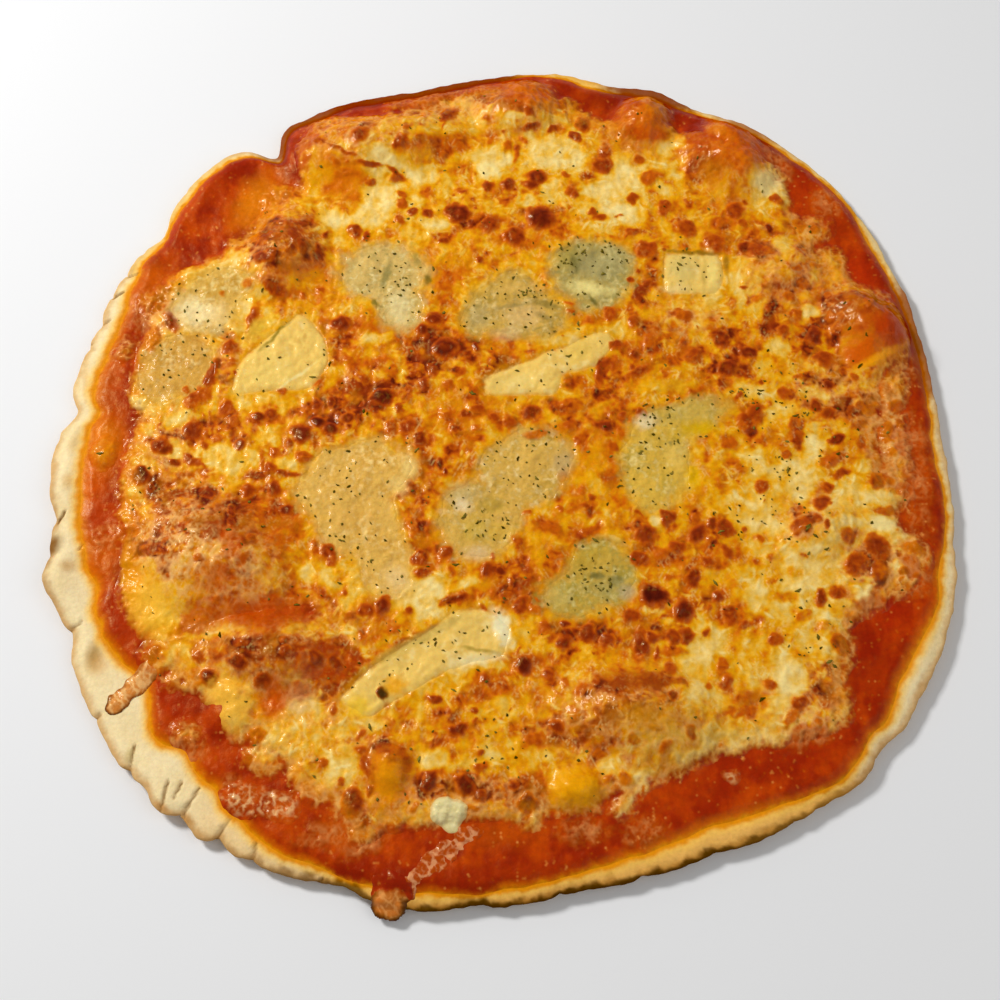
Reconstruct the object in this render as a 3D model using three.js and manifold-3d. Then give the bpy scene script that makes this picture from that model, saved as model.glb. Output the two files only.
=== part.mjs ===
// A whole thin-crust four cheese pizza, resting flat on its underside.
//
// Millimetres, +Z up. The origin is under the middle of the pizza, on the surface that it rests on,
// and -Y is the side nearest the eater. From the bottom up it is a dough disc with a bare rim, a layer
// of tomato sauce, a blanket of melted cheese, and slices and pools of other cheeses on the blanket.
// Bubbles in the dough lift every layer above them.

import * as THREE from 'three';
import { mergeVertices } from 'three/addons/utils/BufferGeometryUtils.js';
import Module from 'manifold-3d';

// Driving dimensions.
const CRUST_RADIUS = 160; // usual radius of the dough disc
const DOUGH_THICKNESS = 4.4; // under the sauce
const RIM_EDGE = 2.8; // thickness of the dough at its outer edge
const RIM_BEVEL = 7; // over this width the dough thins towards its edge
const UNDERCUT = 1.4; // how far the bottom of the edge is set in from the outline
const FLAT_RADIUS = 134; // the underside lies flat out to here
const RIM_LIFT = 1.6; // height of the underside at the outline
const SAUCE_THICKNESS = 1.3;
const SAUCE_RIM = 2.5; // least width of bare dough beyond the sauce
const CHEESE_THICKNESS = 2.4;
const CHEESE_MARGIN = 14; // usual width of sauce that the cheese leaves bare
const EDGE_SHARE = 0.45; // share of a layer's thickness that is left at its edge
const EDGE_TAPER = 7; // over this width a layer thins towards its edge
const GAP = 0.3; // clearance between pieces that lie on each other

// The layers share these rings: a radius and a number of corners for each.
const SHARED_RINGS = [
  [18, 9],
  [36, 20],
  [54, 32],
  [72, 44],
  [90, 56],
  [108, 66],
  [125, 80],
];
const BORDER_START = 125; // beyond the last shared ring, rings follow the layers' outlines
const BORDER_CORNERS = 100;
const RIM_CORNERS = 160;

// Outlines. Each entry pushes an outline outwards by out mm around a bearing, over wide degrees to
// each side. Bearings run anticlockwise from +X.
const CRUST_SWELLS = [
  { at: 3, wide: 11, out: -2.6 },
  { at: 44, wide: 20, out: 8 },
  { at: 68, wide: 4, out: 2 },
  { at: 83, wide: 6, out: 2 },
  { at: 102, wide: 7, out: -3 },
  { at: 125, wide: 2.2, out: -10 },
  { at: 133, wide: 5, out: 2 },
  { at: 145.5, wide: 3, out: -5.5 },
  { at: 165, wide: 15, out: -4 },
  { at: 174.5, wide: 1.8, out: -3 },
  { at: 188.5, wide: 2, out: -1.5 },
  { at: 197.5, wide: 3, out: 3.5 },
  { at: 205.5, wide: 1.6, out: -2 },
  { at: 224, wide: 20, out: 8.5 },
  { at: 226, wide: 1.6, out: -2.5 },
  { at: 232.5, wide: 1.6, out: -2 },
  { at: 237, wide: 1.6, out: -2 },
  { at: 247, wide: 12, out: 1.5 },
  { at: 281, wide: 13, out: -3.8 },
  { at: 320, wide: 1.8, out: -2 },
  { at: 324, wide: 20, out: 8 },
];
const RIM_WIDTH_SWELLS = [
  { at: 0, wide: 7, out: 2 },
  { at: 168, wide: 16, out: 6 },
  { at: 184, wide: 10, out: 5 },
  { at: 199, wide: 7, out: 11 },
  { at: 218, wide: 11, out: 17 },
  { at: 234, wide: 13, out: 8 },
  { at: 285, wide: 9, out: 2.5 },
  { at: 312, wide: 20, out: 6 },
  { at: 330, wide: 8, out: 3 },
  { at: 342, wide: 8, out: 2 },
];
const CHEESE_MARGIN_SWELLS = [
  { at: 3, wide: 6, out: 2 },
  { at: 20, wide: 7, out: -9.5 },
  { at: 35, wide: 6, out: 5 },
  { at: 50, wide: 7, out: -6 },
  { at: 64, wide: 5, out: -4 },
  { at: 96, wide: 17, out: -10 },
  { at: 118, wide: 6, out: -10 },
  { at: 136, wide: 8, out: 13 },
  { at: 156, wide: 7, out: -7 },
  { at: 168, wide: 6, out: -4 },
  { at: 207, wide: 14, out: -4 },
  { at: 219, wide: 4, out: -7 },
  { at: 240, wide: 14, out: 6 },
  { at: 252, wide: 2.6, out: -12 },
  { at: 266, wide: 12, out: 8 },
  { at: 298, wide: 12, out: 8 },
  { at: 317, wide: 5, out: -9 },
  { at: 330, wide: 6, out: 9 },
  { at: 342, wide: 5, out: -9 },
];

// Stretches of rim that have curled up in the oven, by up mm at the outline.
const RIM_CURLS = [
  { at: 133, wide: 6, up: 1 },
  { at: 186, wide: 4, up: 1.5 },
  { at: 197.5, wide: 4, up: 3 },
  { at: 228, wide: 4, up: 1 },
];
const CURL_WIDTH = 16; // a curl reaches this far in from the outline

// Bubbles in the dough: domes high mm tall on an oval of long by wide mm, its long axis at turn degrees.
const BUBBLES = [
  { at: [-98, -42], long: 68, wide: 52, turn: -20, high: 9 },
  { at: [-76, -76], long: 58, wide: 34, turn: -12, high: 8 },
  { at: [-80, 78], long: 50, wide: 36, turn: 60, high: 7 },
  { at: [-47, 126], long: 88, wide: 40, turn: 14, high: 7.5 },
  { at: [8, 142], long: 44, wide: 30, turn: 10, high: 6 },
  { at: [55, 136], long: 30, wide: 30, turn: 0, high: 7 },
  { at: [86, 120], long: 50, wide: 36, turn: -50, high: 9 },
  { at: [134, 46], long: 48, wide: 34, turn: -65, high: 8.5 },
  { at: [47, -97], long: 66, wide: 42, turn: -10, high: 8 },
  { at: [110, -33], long: 34, wide: 26, turn: 20, high: 4.5 },
  { at: [104, 72], long: 40, wide: 28, turn: 20, high: 3.5 },
  { at: [25, -121], long: 20, wide: 18, turn: 0, high: 3.5 },
  { at: [-36, -114], long: 22, wide: 18, turn: 100, high: 4 },
  { at: [-90, -94], long: 26, wide: 20, turn: 65, high: 3 },
];
const BUBBLE_EDGE_FADE = 5; // bubbles die away over this width inside the dough's outline

// Pieces that lie on the blanket or on the bare sauce. An outline is an oval of long by wide mm whose
// long axis is at turn degrees. Its corners are as square as its exponent says, and taper widens its
// far end and narrows its near end by that share.
const SLICES = [
  { name: 'brie_slice_left', at: [-79, 34], long: 42, wide: 24, turn: 33, square: 4, taper: 0.22 },
  { name: 'brie_slice_middle', at: [18, 32], long: 46, wide: 15, turn: 24, square: 3, taper: 0 },
  { name: 'brie_slice_right', at: [74, 69], long: 28, wide: 18, turn: -3, square: 5, taper: 0 },
  { name: 'brie_slice_front', at: [-23, -78], long: 60, wide: 18, turn: 29, square: 3, taper: 0 },
];
const GOAT_POOLS = [
  { name: 'goat_cheese_left', at: [-108, 58], long: 30, wide: 22, turn: -60, square: 2.2, taper: 0 },
  { name: 'goat_cheese_far_left', at: [-118, 32], long: 28, wide: 24, turn: 60, square: 2, taper: 0 },
  { name: 'goat_cheese_inner', at: [-49, -18], long: 68, wide: 34, turn: -68, square: 2.2, taper: -0.3 },
  { name: 'goat_cheese_centre', at: [0, -13], long: 56, wide: 30, turn: 52, square: 2.2, taper: 0.08 },
];
const BLUE_POOLS = [
  { name: 'blue_cheese_upper', at: [-43, 62], long: 38, wide: 30, turn: -66, square: 2, taper: -0.15 },
  { name: 'blue_cheese_top', at: [35, 71], long: 27, wide: 25, turn: 0, square: 2.4, taper: 0 },
  { name: 'blue_cheese_middle', at: [3, 56], long: 34, wide: 26, turn: 8, square: 2.2, taper: 0 },
  { name: 'blue_cheese_right', at: [58, -1], long: 46, wide: 31, turn: 62, square: 2.2, taper: 0 },
  { name: 'blue_cheese_low', at: [30, -47], long: 36, wide: 27, turn: 8, square: 2.2, taper: 0 },
];
const BITS = [
  { name: 'mozzarella_bit', at: [-18, -129], long: 10, wide: 8, turn: 0, square: 2.6, taper: 0 },
  { name: 'cheese_bit_left', at: [-77, -125], long: 29, wide: 12, turn: -14, square: 2, taper: 0 },
  { name: 'cheese_bit_right', at: [76, -117], long: 10, wide: 7, turn: 10, square: 2, taper: 0 },
];
const SLICE_THICKNESS = 2.6;
const POOL_THICKNESS = 1.5;
const BIT_THICKNESS = 1.8;
const PIECE_EDGE_SHARE = 0.5; // share of a piece's thickness that is left at its edge
const PIECE_RINGS = [
  [0.6, 9],
  [0.88, 18],
  [1, 18],
];

// Strings of cheese that have run out of the blanket, from one point to another. The front one
// crosses the rim and hangs over the edge.
const STRINGS = [
  { from: [-108, -72], to: [-128.5, -93], wide: 8, thick: 3, foot: 1.2 },
  { from: [-7, -132], to: [-31, -155], wide: 7, thick: 2.6, foot: 1.2 },
  { from: [-33, -152], to: [-35.5, -159], wide: 11, thick: 3, foot: 1.2 },
];
const STRING_RINGS = [
  [0.6, 10],
  [1, 20],
];

const wasm = await Module();
wasm.setup();

const rad = THREE.MathUtils.degToRad;
const smooth = (low, high, value) => THREE.MathUtils.smoothstep(value, low, high);

// A bell curve of the angle between two bearings in degrees.
function bell(bearing, at, wide) {
  const turn = ((bearing - at + 540) % 360) - 180;
  return Math.exp(-((turn / wide) ** 2));
}

const swollen = (bearing, swells) => swells.reduce((sum, s) => sum + s.out * bell(bearing, s.at, s.wide), 0);

// The three layers' outlines, as a radius for each bearing.
const crustRadius = (bearing) => CRUST_RADIUS + swollen(bearing, CRUST_SWELLS);
const sauceRadius = (bearing) => crustRadius(bearing) - SAUCE_RIM - swollen(bearing, RIM_WIDTH_SWELLS);
const cheeseRadius = (bearing) =>
  sauceRadius(bearing) - Math.max(1.5, CHEESE_MARGIN + swollen(bearing, CHEESE_MARGIN_SWELLS));

const bearingOf = (x, y) => (THREE.MathUtils.radToDeg(Math.atan2(y, x)) + 360) % 360;

// How far a point lies inside an outline, along its bearing.
const inside = (outline, x, y) => outline(bearingOf(x, y)) - Math.hypot(x, y);

// The height of the underside: flat, then curling up towards the outline.
function underside(x, y) {
  const bearing = bearingOf(x, y);
  const r = Math.hypot(x, y);
  const edge = crustRadius(bearing);
  const curl = RIM_CURLS.reduce((sum, c) => sum + c.up * bell(bearing, c.at, c.wide), 0);
  return RIM_LIFT * smooth(FLAT_RADIUS, edge, r) ** 2 + curl * smooth(edge - CURL_WIDTH, edge, r);
}

function bubbleHeight(x, y) {
  let height = 0;
  for (const { at, long, wide, turn, high } of BUBBLES) {
    const c = Math.cos(rad(turn));
    const s = Math.sin(rad(turn));
    const dx = x - at[0];
    const dy = y - at[1];
    const distance = Math.hypot((dx * c + dy * s) / (long / 2), (dy * c - dx * s) / (wide / 2));
    height = Math.max(height, high * (1 - smooth(0.15, 1, distance)));
  }
  return height * smooth(0, BUBBLE_EDGE_FADE, inside(crustRadius, x, y));
}

// The tops of the layers. Outside its own outline a layer adds nothing.
function doughTop(x, y) {
  const bevel = smooth(0, RIM_BEVEL, inside(crustRadius, x, y));
  const thickness = THREE.MathUtils.lerp(RIM_EDGE, DOUGH_THICKNESS, bevel);
  return underside(x, y) + thickness + bubbleHeight(x, y);
}

function layerThickness(full, depth) {
  return depth < 0 ? 0 : GAP + full * THREE.MathUtils.lerp(EDGE_SHARE, 1, smooth(0, EDGE_TAPER, depth));
}

const ON_EDGE = 1e-6; // counts a point on an outline as inside it
const sauceTop = (x, y) =>
  doughTop(x, y) + layerThickness(SAUCE_THICKNESS, inside(sauceRadius, x, y) + ON_EDGE);
const cheeseTop = (x, y) =>
  sauceTop(x, y) + layerThickness(CHEESE_THICKNESS, inside(cheeseRadius, x, y) + ON_EDGE);

// One closed mesh through a stack of rings, from a point at the top to a point at the bottom. Each
// ring is a list of points, anticlockwise seen from above.
function ringSolid(topPoint, rings, bottomPoint) {
  const positions = [...topPoint];
  const indices = [];
  const starts = rings.map((ring) => {
    const start = positions.length / 3;
    ring.forEach((p) => positions.push(...p));
    return start;
  });
  const last = positions.length / 3;
  positions.push(...bottomPoint);
  rings[0].forEach((_, i) => indices.push(0, starts[0] + i, starts[0] + ((i + 1) % rings[0].length)));
  for (let k = 0; k + 1 < rings.length; k += 1) {
    joinRings(indices, starts[k], rings[k].length, starts[k + 1], rings[k + 1].length);
  }
  const end = rings.length - 1;
  rings[end].forEach((_, i) => indices.push(last, starts[end] + ((i + 1) % rings[end].length), starts[end] + i));
  const geometry = new THREE.BufferGeometry();
  geometry.setAttribute('position', new THREE.Float32BufferAttribute(positions, 3));
  geometry.setIndex(indices);
  return geometry;
}

// Triangles between two rings that may have different numbers of corners.
function joinRings(indices, a, countA, b, countB) {
  let i = 0;
  let j = 0;
  while (i < countA || j < countB) {
    if (j >= countB || (i < countA && (i + 1) / countA <= (j + 1) / countB)) {
      indices.push(a + (i % countA), b + (j % countB), a + ((i + 1) % countA));
      i += 1;
    } else {
      indices.push(a + (i % countA), b + (j % countB), b + ((j + 1) % countB));
      j += 1;
    }
  }
}

// A ring around the origin, with its radius and height worked out at each corner.
function ring(corners, radius, height) {
  return Array.from({ length: corners }, (_, i) => {
    const bearing = (360 * i) / corners;
    const r = radius(bearing);
    const x = r * Math.cos(rad(bearing));
    const y = r * Math.sin(rad(bearing));
    return [x, y, height(x, y)];
  });
}

// Rings that run out to a layer's outline. Every layer has the same ones as far as it goes, so the
// facets of a layer's top lie exactly above those of the layer below.
function ringsTo(outlines, height) {
  const shared = SHARED_RINGS.map(([r, corners]) => ring(corners, () => r, height));
  const half = (bearing) => (BORDER_START + cheeseRadius(bearing)) / 2;
  return [...shared, ...[half, ...outlines].map((outline) => ring(BORDER_CORNERS, outline, height))];
}

function solid(geometry) {
  const merged = mergeVertices(new THREE.BufferGeometry().copy(geometry).deleteAttribute('normal'));
  return new wasm.Manifold(
    new wasm.Mesh({
      numProp: 3,
      vertProperties: new Float32Array(merged.attributes.position.array),
      triVerts: new Uint32Array(merged.index.array),
    }),
  );
}

// The geometry of a solid's largest body, so that no sliver of a cut is left beside it.
function geometryOf(made) {
  const body = made.decompose().reduce((best, b) => (b.volume() > best.volume() ? b : best));
  const mesh = body.getMesh();
  const geometry = new THREE.BufferGeometry();
  geometry.setAttribute('position', new THREE.BufferAttribute(mesh.vertProperties, mesh.numProp));
  geometry.setIndex(new THREE.BufferAttribute(mesh.triVerts, 1));
  geometry.computeVertexNormals();
  return geometry;
}

// A copy that is larger by the gap upwards and outwards, for cutting what lies on it.
function grown(geometry) {
  const stretch = 1 + GAP / CRUST_RADIUS;
  return solid(geometry.clone().scale(stretch, stretch, 1).translate(0, 0, GAP));
}

function crustGeometry() {
  const midRim = (bearing) => (sauceRadius(bearing) + crustRadius(bearing)) / 2;
  const footEdge = (bearing) => crustRadius(bearing) - UNDERCUT;
  const footMiddle = (bearing) => (FLAT_RADIUS + crustRadius(bearing)) / 2;
  return ringSolid(
    [0, 0, doughTop(0, 0)],
    [
      ...ringsTo([cheeseRadius, sauceRadius], doughTop),
      ring(RIM_CORNERS, midRim, doughTop),
      ring(RIM_CORNERS, crustRadius, doughTop),
      ring(RIM_CORNERS, footEdge, underside),
      ring(BORDER_CORNERS / 2, footMiddle, underside),
      ring(BORDER_CORNERS / 2, () => FLAT_RADIUS, () => 0),
    ],
    [0, 0, 0],
  );
}

// A layer's full shape: its true top and outline, and a plain bottom that lies depth mm above the
// underside, inside the layer below, which then cuts it.
function layerGeometry(outlines, top, depth) {
  const bottom = (x, y) => underside(x, y) + depth;
  return ringSolid(
    [0, 0, top(0, 0)],
    [
      ...ringsTo(outlines, top),
      ring(BORDER_CORNERS, outlines.at(-1), bottom),
      ring(BORDER_CORNERS, () => BORDER_START, bottom),
    ],
    [0, 0, bottom(0, 0)],
  );
}

// The outline point of a tapered, squared oval at an angle in degrees around it.
function ovalPoint({ at, long, wide, turn, square, taper }, angle, share) {
  const power = (value) => Math.sign(value) * Math.abs(value) ** (2 / square);
  const u = power(Math.cos(rad(angle)));
  const v = power(Math.sin(rad(angle))) * (1 + taper * u);
  const along = (long / 2) * u * share;
  const across = (wide / 2) * v * share;
  const c = Math.cos(rad(turn));
  const s = Math.sin(rad(turn));
  return [at[0] + along * c - across * s, at[1] + along * s + across * c];
}

// A piece that lies on the layers below, following them, and thins towards its edge.
function draped(oval, thickness, surface, depth, rings) {
  const heightAt = (x, y, share) =>
    surface(x, y) + GAP + thickness * THREE.MathUtils.lerp(PIECE_EDGE_SHARE, 1, Math.sqrt(1 - share ** 2));
  const bottom = (x, y) => underside(x, y) + depth;
  const ovalRing = ([share, corners], height) =>
    Array.from({ length: corners }, (_, i) => {
      const [x, y] = ovalPoint(oval, (360 * i) / corners, share);
      return [x, y, height(x, y, share)];
    });
  const [x, y] = oval.at;
  return ringSolid(
    [x, y, heightAt(x, y, 0)],
    [...rings.map((r) => ovalRing(r, heightAt)), ovalRing(rings.at(-1), bottom)],
    [x, y, bottom(x, y)],
  );
}

// A string of cheese as a draped oval between its two ends.
function stringGeometry({ from, to, wide, thick, foot }) {
  const run = [to[0] - from[0], to[1] - from[1]];
  const oval = {
    at: [(from[0] + to[0]) / 2, (from[1] + to[1]) / 2],
    long: Math.hypot(...run) + wide / 2,
    wide,
    turn: bearingOf(...run),
    square: 3,
    taper: 0,
  };
  return draped(oval, thick, sauceTop, foot, STRING_RINGS);
}

const material = (color, roughness) => new THREE.MeshStandardMaterial({ color, roughness, metalness: 0 });
const CRUST = material(0xe3c98f, 0.85);
const TOMATO = material(0xa93206, 0.35);
const MELTED = material(0xe0a02c, 0.4);
const BRIE = material(0xe2c36a, 0.45);
const GOAT = material(0xd2b672, 0.5);
const BLUE = material(0xb3a566, 0.5);
const MOZZARELLA = material(0xe2dca6, 0.4);

const pizza = new THREE.Group();

function addPiece(name, geometry, finish) {
  const mesh = new THREE.Mesh(geometry, finish);
  mesh.name = name;
  pizza.add(mesh);
}

// Depths of the uncut bottoms, each inside the layer below it.
const SAUCE_DEPTH = 1.4;
const CHEESE_DEPTH = 2.6;
const PIECE_DEPTH = 3.8;

const crust = crustGeometry();
const sauceShape = layerGeometry([cheeseRadius, sauceRadius], sauceTop, SAUCE_DEPTH);
const cheeseShape = layerGeometry([cheeseRadius], cheeseTop, CHEESE_DEPTH);
const strings = STRINGS.map((string) => solid(stringGeometry(string)));
const blanket = strings.reduce((made, string) => made.add(string), solid(cheeseShape));

// What each layer is cut by: all the layers below it, grown by the gap.
const overCrust = grown(crust);
const overSauce = overCrust.add(grown(sauceShape));
const overCheese = overSauce.add(grown(cheeseShape));

addPiece('crust', crust, CRUST);
addPiece('tomato_sauce', geometryOf(solid(sauceShape).subtract(overCrust)), TOMATO);
addPiece('melted_cheese', geometryOf(blanket.subtract(overSauce)), MELTED);

function addToppings(ovals, thickness, finish) {
  for (const oval of ovals) {
    const shape = draped(oval, thickness, cheeseTop, PIECE_DEPTH, PIECE_RINGS);
    addPiece(oval.name, geometryOf(solid(shape).subtract(overCheese)), finish);
  }
}

addToppings(SLICES, SLICE_THICKNESS, BRIE);
addToppings(GOAT_POOLS, POOL_THICKNESS, GOAT);
addToppings(BLUE_POOLS, POOL_THICKNESS, BLUE);
addToppings(BITS, BIT_THICKNESS, MOZZARELLA);

// The origin lies under the middle of the whole pizza.
const middle = new THREE.Box3().setFromObject(pizza).getCenter(new THREE.Vector3());
pizza.position.set(-middle.x, -middle.y, 0);

export default pizza;
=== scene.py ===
"""A whole thin-crust four cheese pizza, on a pale floor under soft light.

The shapes are worked out in millimetres, in the coordinates that the CAD solids were drawn in, and
become metres in the row's frame when a mesh is made. Bearings are in degrees, anticlockwise from +X.
Surfaces are heights above the floor at a point (x, y). Each sheet of a surface is a mesh of small
triangles that dips under its neighbour at its edge, so pieces melt into each other.
"""

import math

import bpy
import numpy as np
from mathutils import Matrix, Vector


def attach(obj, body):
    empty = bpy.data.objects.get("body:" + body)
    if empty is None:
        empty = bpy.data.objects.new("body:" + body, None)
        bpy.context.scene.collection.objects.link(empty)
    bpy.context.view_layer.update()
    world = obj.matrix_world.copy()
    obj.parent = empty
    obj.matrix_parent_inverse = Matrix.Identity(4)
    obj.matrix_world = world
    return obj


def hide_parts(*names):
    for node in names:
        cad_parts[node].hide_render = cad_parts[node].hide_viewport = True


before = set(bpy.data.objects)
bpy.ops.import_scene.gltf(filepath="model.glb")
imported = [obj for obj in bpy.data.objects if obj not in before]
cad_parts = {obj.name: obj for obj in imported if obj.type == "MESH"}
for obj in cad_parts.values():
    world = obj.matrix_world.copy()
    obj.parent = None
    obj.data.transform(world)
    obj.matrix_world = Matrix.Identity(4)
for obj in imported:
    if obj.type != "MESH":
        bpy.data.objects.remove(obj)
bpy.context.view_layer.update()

# Sizes in mm. Most of them repeat the CAD solids' sizes.
MIDDLE = (-0.13, -0.48)  # the middle of the whole pizza in the drawing's coordinates
CRUST_RADIUS = 160  # before the swells
FLAT_RADIUS = 134  # the dough rests flat inside this radius
RIM_LIFT = 1.6  # how far the dough's edge lifts off
CURL_WIDTH = 16  # a curl reaches this far in from the edge
DOUGH_THICKNESS = 4.4
RIM_EDGE = 2.8  # the dough's thickness at its edge
RIM_BEVEL = 7  # over this width the dough thins towards its edge
BUBBLE_EDGE_FADE = 5  # bubbles die away over this width inside the edge
SAUCE_RIM = 2.5  # least width of bare dough around the sauce's solid
SAUCE_SHORT = 1.2  # how far inside its solid's outline the cooked sauce ends
CHEESE_MARGIN = 14  # bare sauce around the blanket, before the swells
LEAST_MARGIN = 1.5  # least width of bare sauce around the blanket
CHEESE_THICKNESS = 2.4
SAUCE_THICKNESS = 1.8  # under the blanket

# The camera's place, and the height of the flat plane on which the places of the details are given.
CAMERA_PLACE = (-.1, -228.8, 523.2)
SEEN_PLANE = 7

# Swells of the outlines: (bearing, degrees to each side, mm outwards).
CRUST_SWELLS = (
    (3, 11, -2.6), (44, 20, 8), (68, 4, 2), (83, 6, 2), (102, 7, -3), (125, 2.2, -10), (133, 5, 2),
    (145.5, 3, -5.5), (165, 15, -4), (174.5, 1.8, -3), (188.5, 2, -1.5), (197.5, 3, 3.5), (205.5, 1.6, -2),
    (224, 20, 8.5), (226, 1.6, -2.5), (232.5, 1.6, -2), (237, 1.6, -2), (247, 12, 1.5), (281, 13, -3.8),
    (320, 1.8, -2), (324, 20, 8),
)
EDGE_SWELLS = (
    (55, 4, 2.2), (70, 4, 1.6), (80, 6, 1), (157, 10, 1.4), (175, 3, -2), (226, 5, 2), (235, 5, 2.6),
    (252, 3, -2), (259, 6, 2.2), (272, 5, 1.2), (296, 5, -1.4), (315, 4, 2), (340, 6, 1.6),
)
# Sharp notches between the lobes of the dough's edge: (bearing, half width in degrees, mm inwards).
NOTCHES = (
    (149, 2, 1.6), (153, 1.6, 2.2), (156.6, 1.5, 2), (161.3, 1.6, 2.4), (165, 1, 1.4), (190, 1.4, 1.4),
    (194.8, 1.4, 1.6), (205, 1, 1), (216, .6, .9), (223.5, 1, 2.4), (231.2, .9, 2.4), (236.4, .9, 2.4),
    (241, .6, 1), (250, .8, .8), (258, .7, .7), (268, .9, 1), (277, .8, .9), (287, .9, 1.1), (296, .8, .9),
    (306, .9, .9), (318, .8, 1.2), (327, .7, .8),
)
# Cracks in the dough's edge: the two ends of each, (x, y, x, y).
CRACKS = (
    (-149, -69.5, -142, -64), (-122, -116, -120.5, -107), (-110.3, -128, -108.4, -119),
    (-106, -124, -104, -119), (-103, -130, -98.5, -121), (-92, -138, -88, -131), (-80.5, -146, -78.5, -139),
    (-154, -28.5, -152, -24), (-145.5, -38, -141, -34.5), (-134.5, -98.5, -132.8, -96),
    (-138, 70, -134.6, 71), (-143, 61, -139, 63.5), (-148, 49, -143, 52), (-60, -153.5, -57, -150),
    (-153, 42, -149, 42),
)
# The same for the bare rim's width, the sauce's outline and the width of bare sauce around the blanket.
RIM_WIDTH_SWELLS = (
    (0, 7, 2), (168, 16, 6), (184, 10, 5), (199, 7, 11), (218, 11, 17), (234, 13, 8), (285, 9, 2.5),
    (312, 20, 6), (330, 8, 3), (342, 8, 2),
)
SAUCE_SWELLS = (
    (204, 3.5, 2.5), (3, 5, 1.8), (40, 6, 1.8), (55, 5, 2), (85, 6, 2.5), (145, 3, 3), (170, 7, 2),
    (222, 4.2, 8), (238, 8, 3.8), (254, 4, 1), (296, 5, -2.8), (313, 7, 6), (322, 5, 2.5), (338, 6, 2.8),
    (352, 5, 2),
)
CHEESE_MARGIN_SWELLS = (
    (3, 6, 2), (20, 7, -9.5), (35, 6, 5), (50, 7, -6), (64, 5, -4), (96, 17, -10), (118, 6, -10),
    (136, 8, 13), (156, 7, -7), (168, 6, -4), (207, 14, -4), (219, 4, -7), (240, 12, 3), (252, 2.6, -6),
    (266, 12, 8), (298, 12, 8), (317, 5, -9), (330, 5, 5), (342, 5, -9),
)
# Where the dough's edge curls up: (bearing, degrees to each side, mm upwards).
RIM_CURLS = ((133, 6, 1), (186, 4, 1.5), (197.5, 4, 3), (228, 4, 1))

# Bubbles in the dough: (x, y, long, wide, turn, height).
BUBBLES = (
    (-98, -42, 68, 52, -20, 9), (-76, -76, 58, 34, -12, 8), (-80, 78, 50, 36, 60, 7),
    (-47, 126, 88, 40, 14, 7.5), (8, 142, 44, 30, 10, 6), (55, 136, 30, 30, 0, 7),
    (86, 120, 50, 36, -50, 9), (134, 46, 48, 34, -65, 8.5), (47, -97, 66, 42, -10, 8),
    (110, -33, 34, 26, 20, 4.5), (104, 72, 40, 28, 20, 3.5), (25, -121, 20, 18, 0, 3.5),
    (-36, -114, 22, 18, 100, 4), (-90, -94, 26, 20, 65, 3),
)

# Colour zones on the blanket: (x, y, half length, half width, turn, strength).
CREAM_ZONES = (
    (-47, 105, 10, 12, 0, .9), (-58, 92, 9, 7, 0, .8), (-38, 112, 8, 7, 0, .5), (-5, 117, 7, 7, 0, 1.3),
    (22, 122, 14, 8, 10, 1), (8, 128, 8, 10, 0, .5), (48, 110, 12, 9, -20, 1.1), (40, 97, 10, 7, 0, .8),
    (66, 126, 4, 11, 5, .9), (52, 118, 8, 5, 0, .6), (103, 110, 7, 11, 20, 1.1), (72, 112, 5, 8, 0, .5),
    (25, 105, 10, 6, 0, .5), (-98, 70, 10, 8, 20, .8), (-100, 52, 9, 9, 0, .7), (-121, 15, 12, 7, 0, .7),
    (-100, -3, 16, 5, 10, 1.1), (-72, -5, 5, 8, 0, .5), (-27, -56, 9, 8, 0, 1), (-40, -47, 5, 8, 0, 1),
    (-62, -103, 16, 8, 20, .6), (-52, -112, 7, 12, 0, .9), (0, -113, 14, 6, 10, .8), (5, -68, 8, 6, 0, .7),
    (17, -112, 8, 5, 0, .5), (12, -130, 8, 5, 0, .6), (40, -113, 10, 6, -20, .6),
    (45, -123, 6, 10, -30, .5), (70, -72, 10, 10, 0, .8), (68, -88, 10, 6, 0, .8), (93, -86, 9, 9, 0, 1),
    (105, -50, 14, 16, 0, .8), (112, -35, 8, 5, 0, .5), (122, -18, 10, 8, 0, .9), (95, -8, 14, 8, 0, .7),
    (88, -22, 9, 9, 0, .5), (112, 0, 10, 8, 20, .9), (100, 12, 8, 6, 0, .5), (98, 35, 8, 5, 20, .9),
    (118, 12, 8, 5, 0, .6), (128, 5, 8, 7, 0, .5), (103, -72, 12, 7, 0, .7), (92, -103, 14, 5, 10, .8),
    (110, -98, 8, 5, 20, .8), (-10, 62, 6, 5, 0, .5), (-108, -36, 13, 14, 0, .2), (90, 66, 6, 9, 0, .9),
    (40, 44, 8, 5, 20, .6), (-12, 137, 10, 6, 0, .5), (-112, 60, 9, 14, 0, .5),
)
YELLOW_ZONES = (
    (-72, 106, 8, 10, 0, .7), (-45, 120, 12, 5, -20, .8), (-55, -50, 10, 11, 0, 1.2),
    (-75, -106, 14, 6, 10, .9), (-30, -85, 10, 8, 30, 1), (-33, -128, 8, 5, 20, .8),
    (75, -18, 12, 8, 0, .9), (95, -36, 16, 10, 0, .7), (80, -76, 12, 8, 0, .8), (72, 54, 14, 6, 0, .8),
    (60, -80, 14, 6, 0, .6), (-118, -58, 6, 13, 10, 1.2), (-90, -92, 7, 12, 20, 1.3),
    (25, -121, 9, 8, 0, 1.2), (10, -92, 12, 10, 0, .8), (30, 100, 14, 7, 0, .4), (90, 44, 12, 8, 0, .5),
    (10, 70, 10, 14, 0, .4), (-20, -50, 12, 6, 0, .8), (-62, 35, 4, 16, 10, .7), (-30, 100, 10, 10, 0, .6),
    (62, 110, 10, 8, 0, .5), (42, -55, 4, 10, 0, .3), (-125, -18, 14, 5, 25, .8),
)
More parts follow.
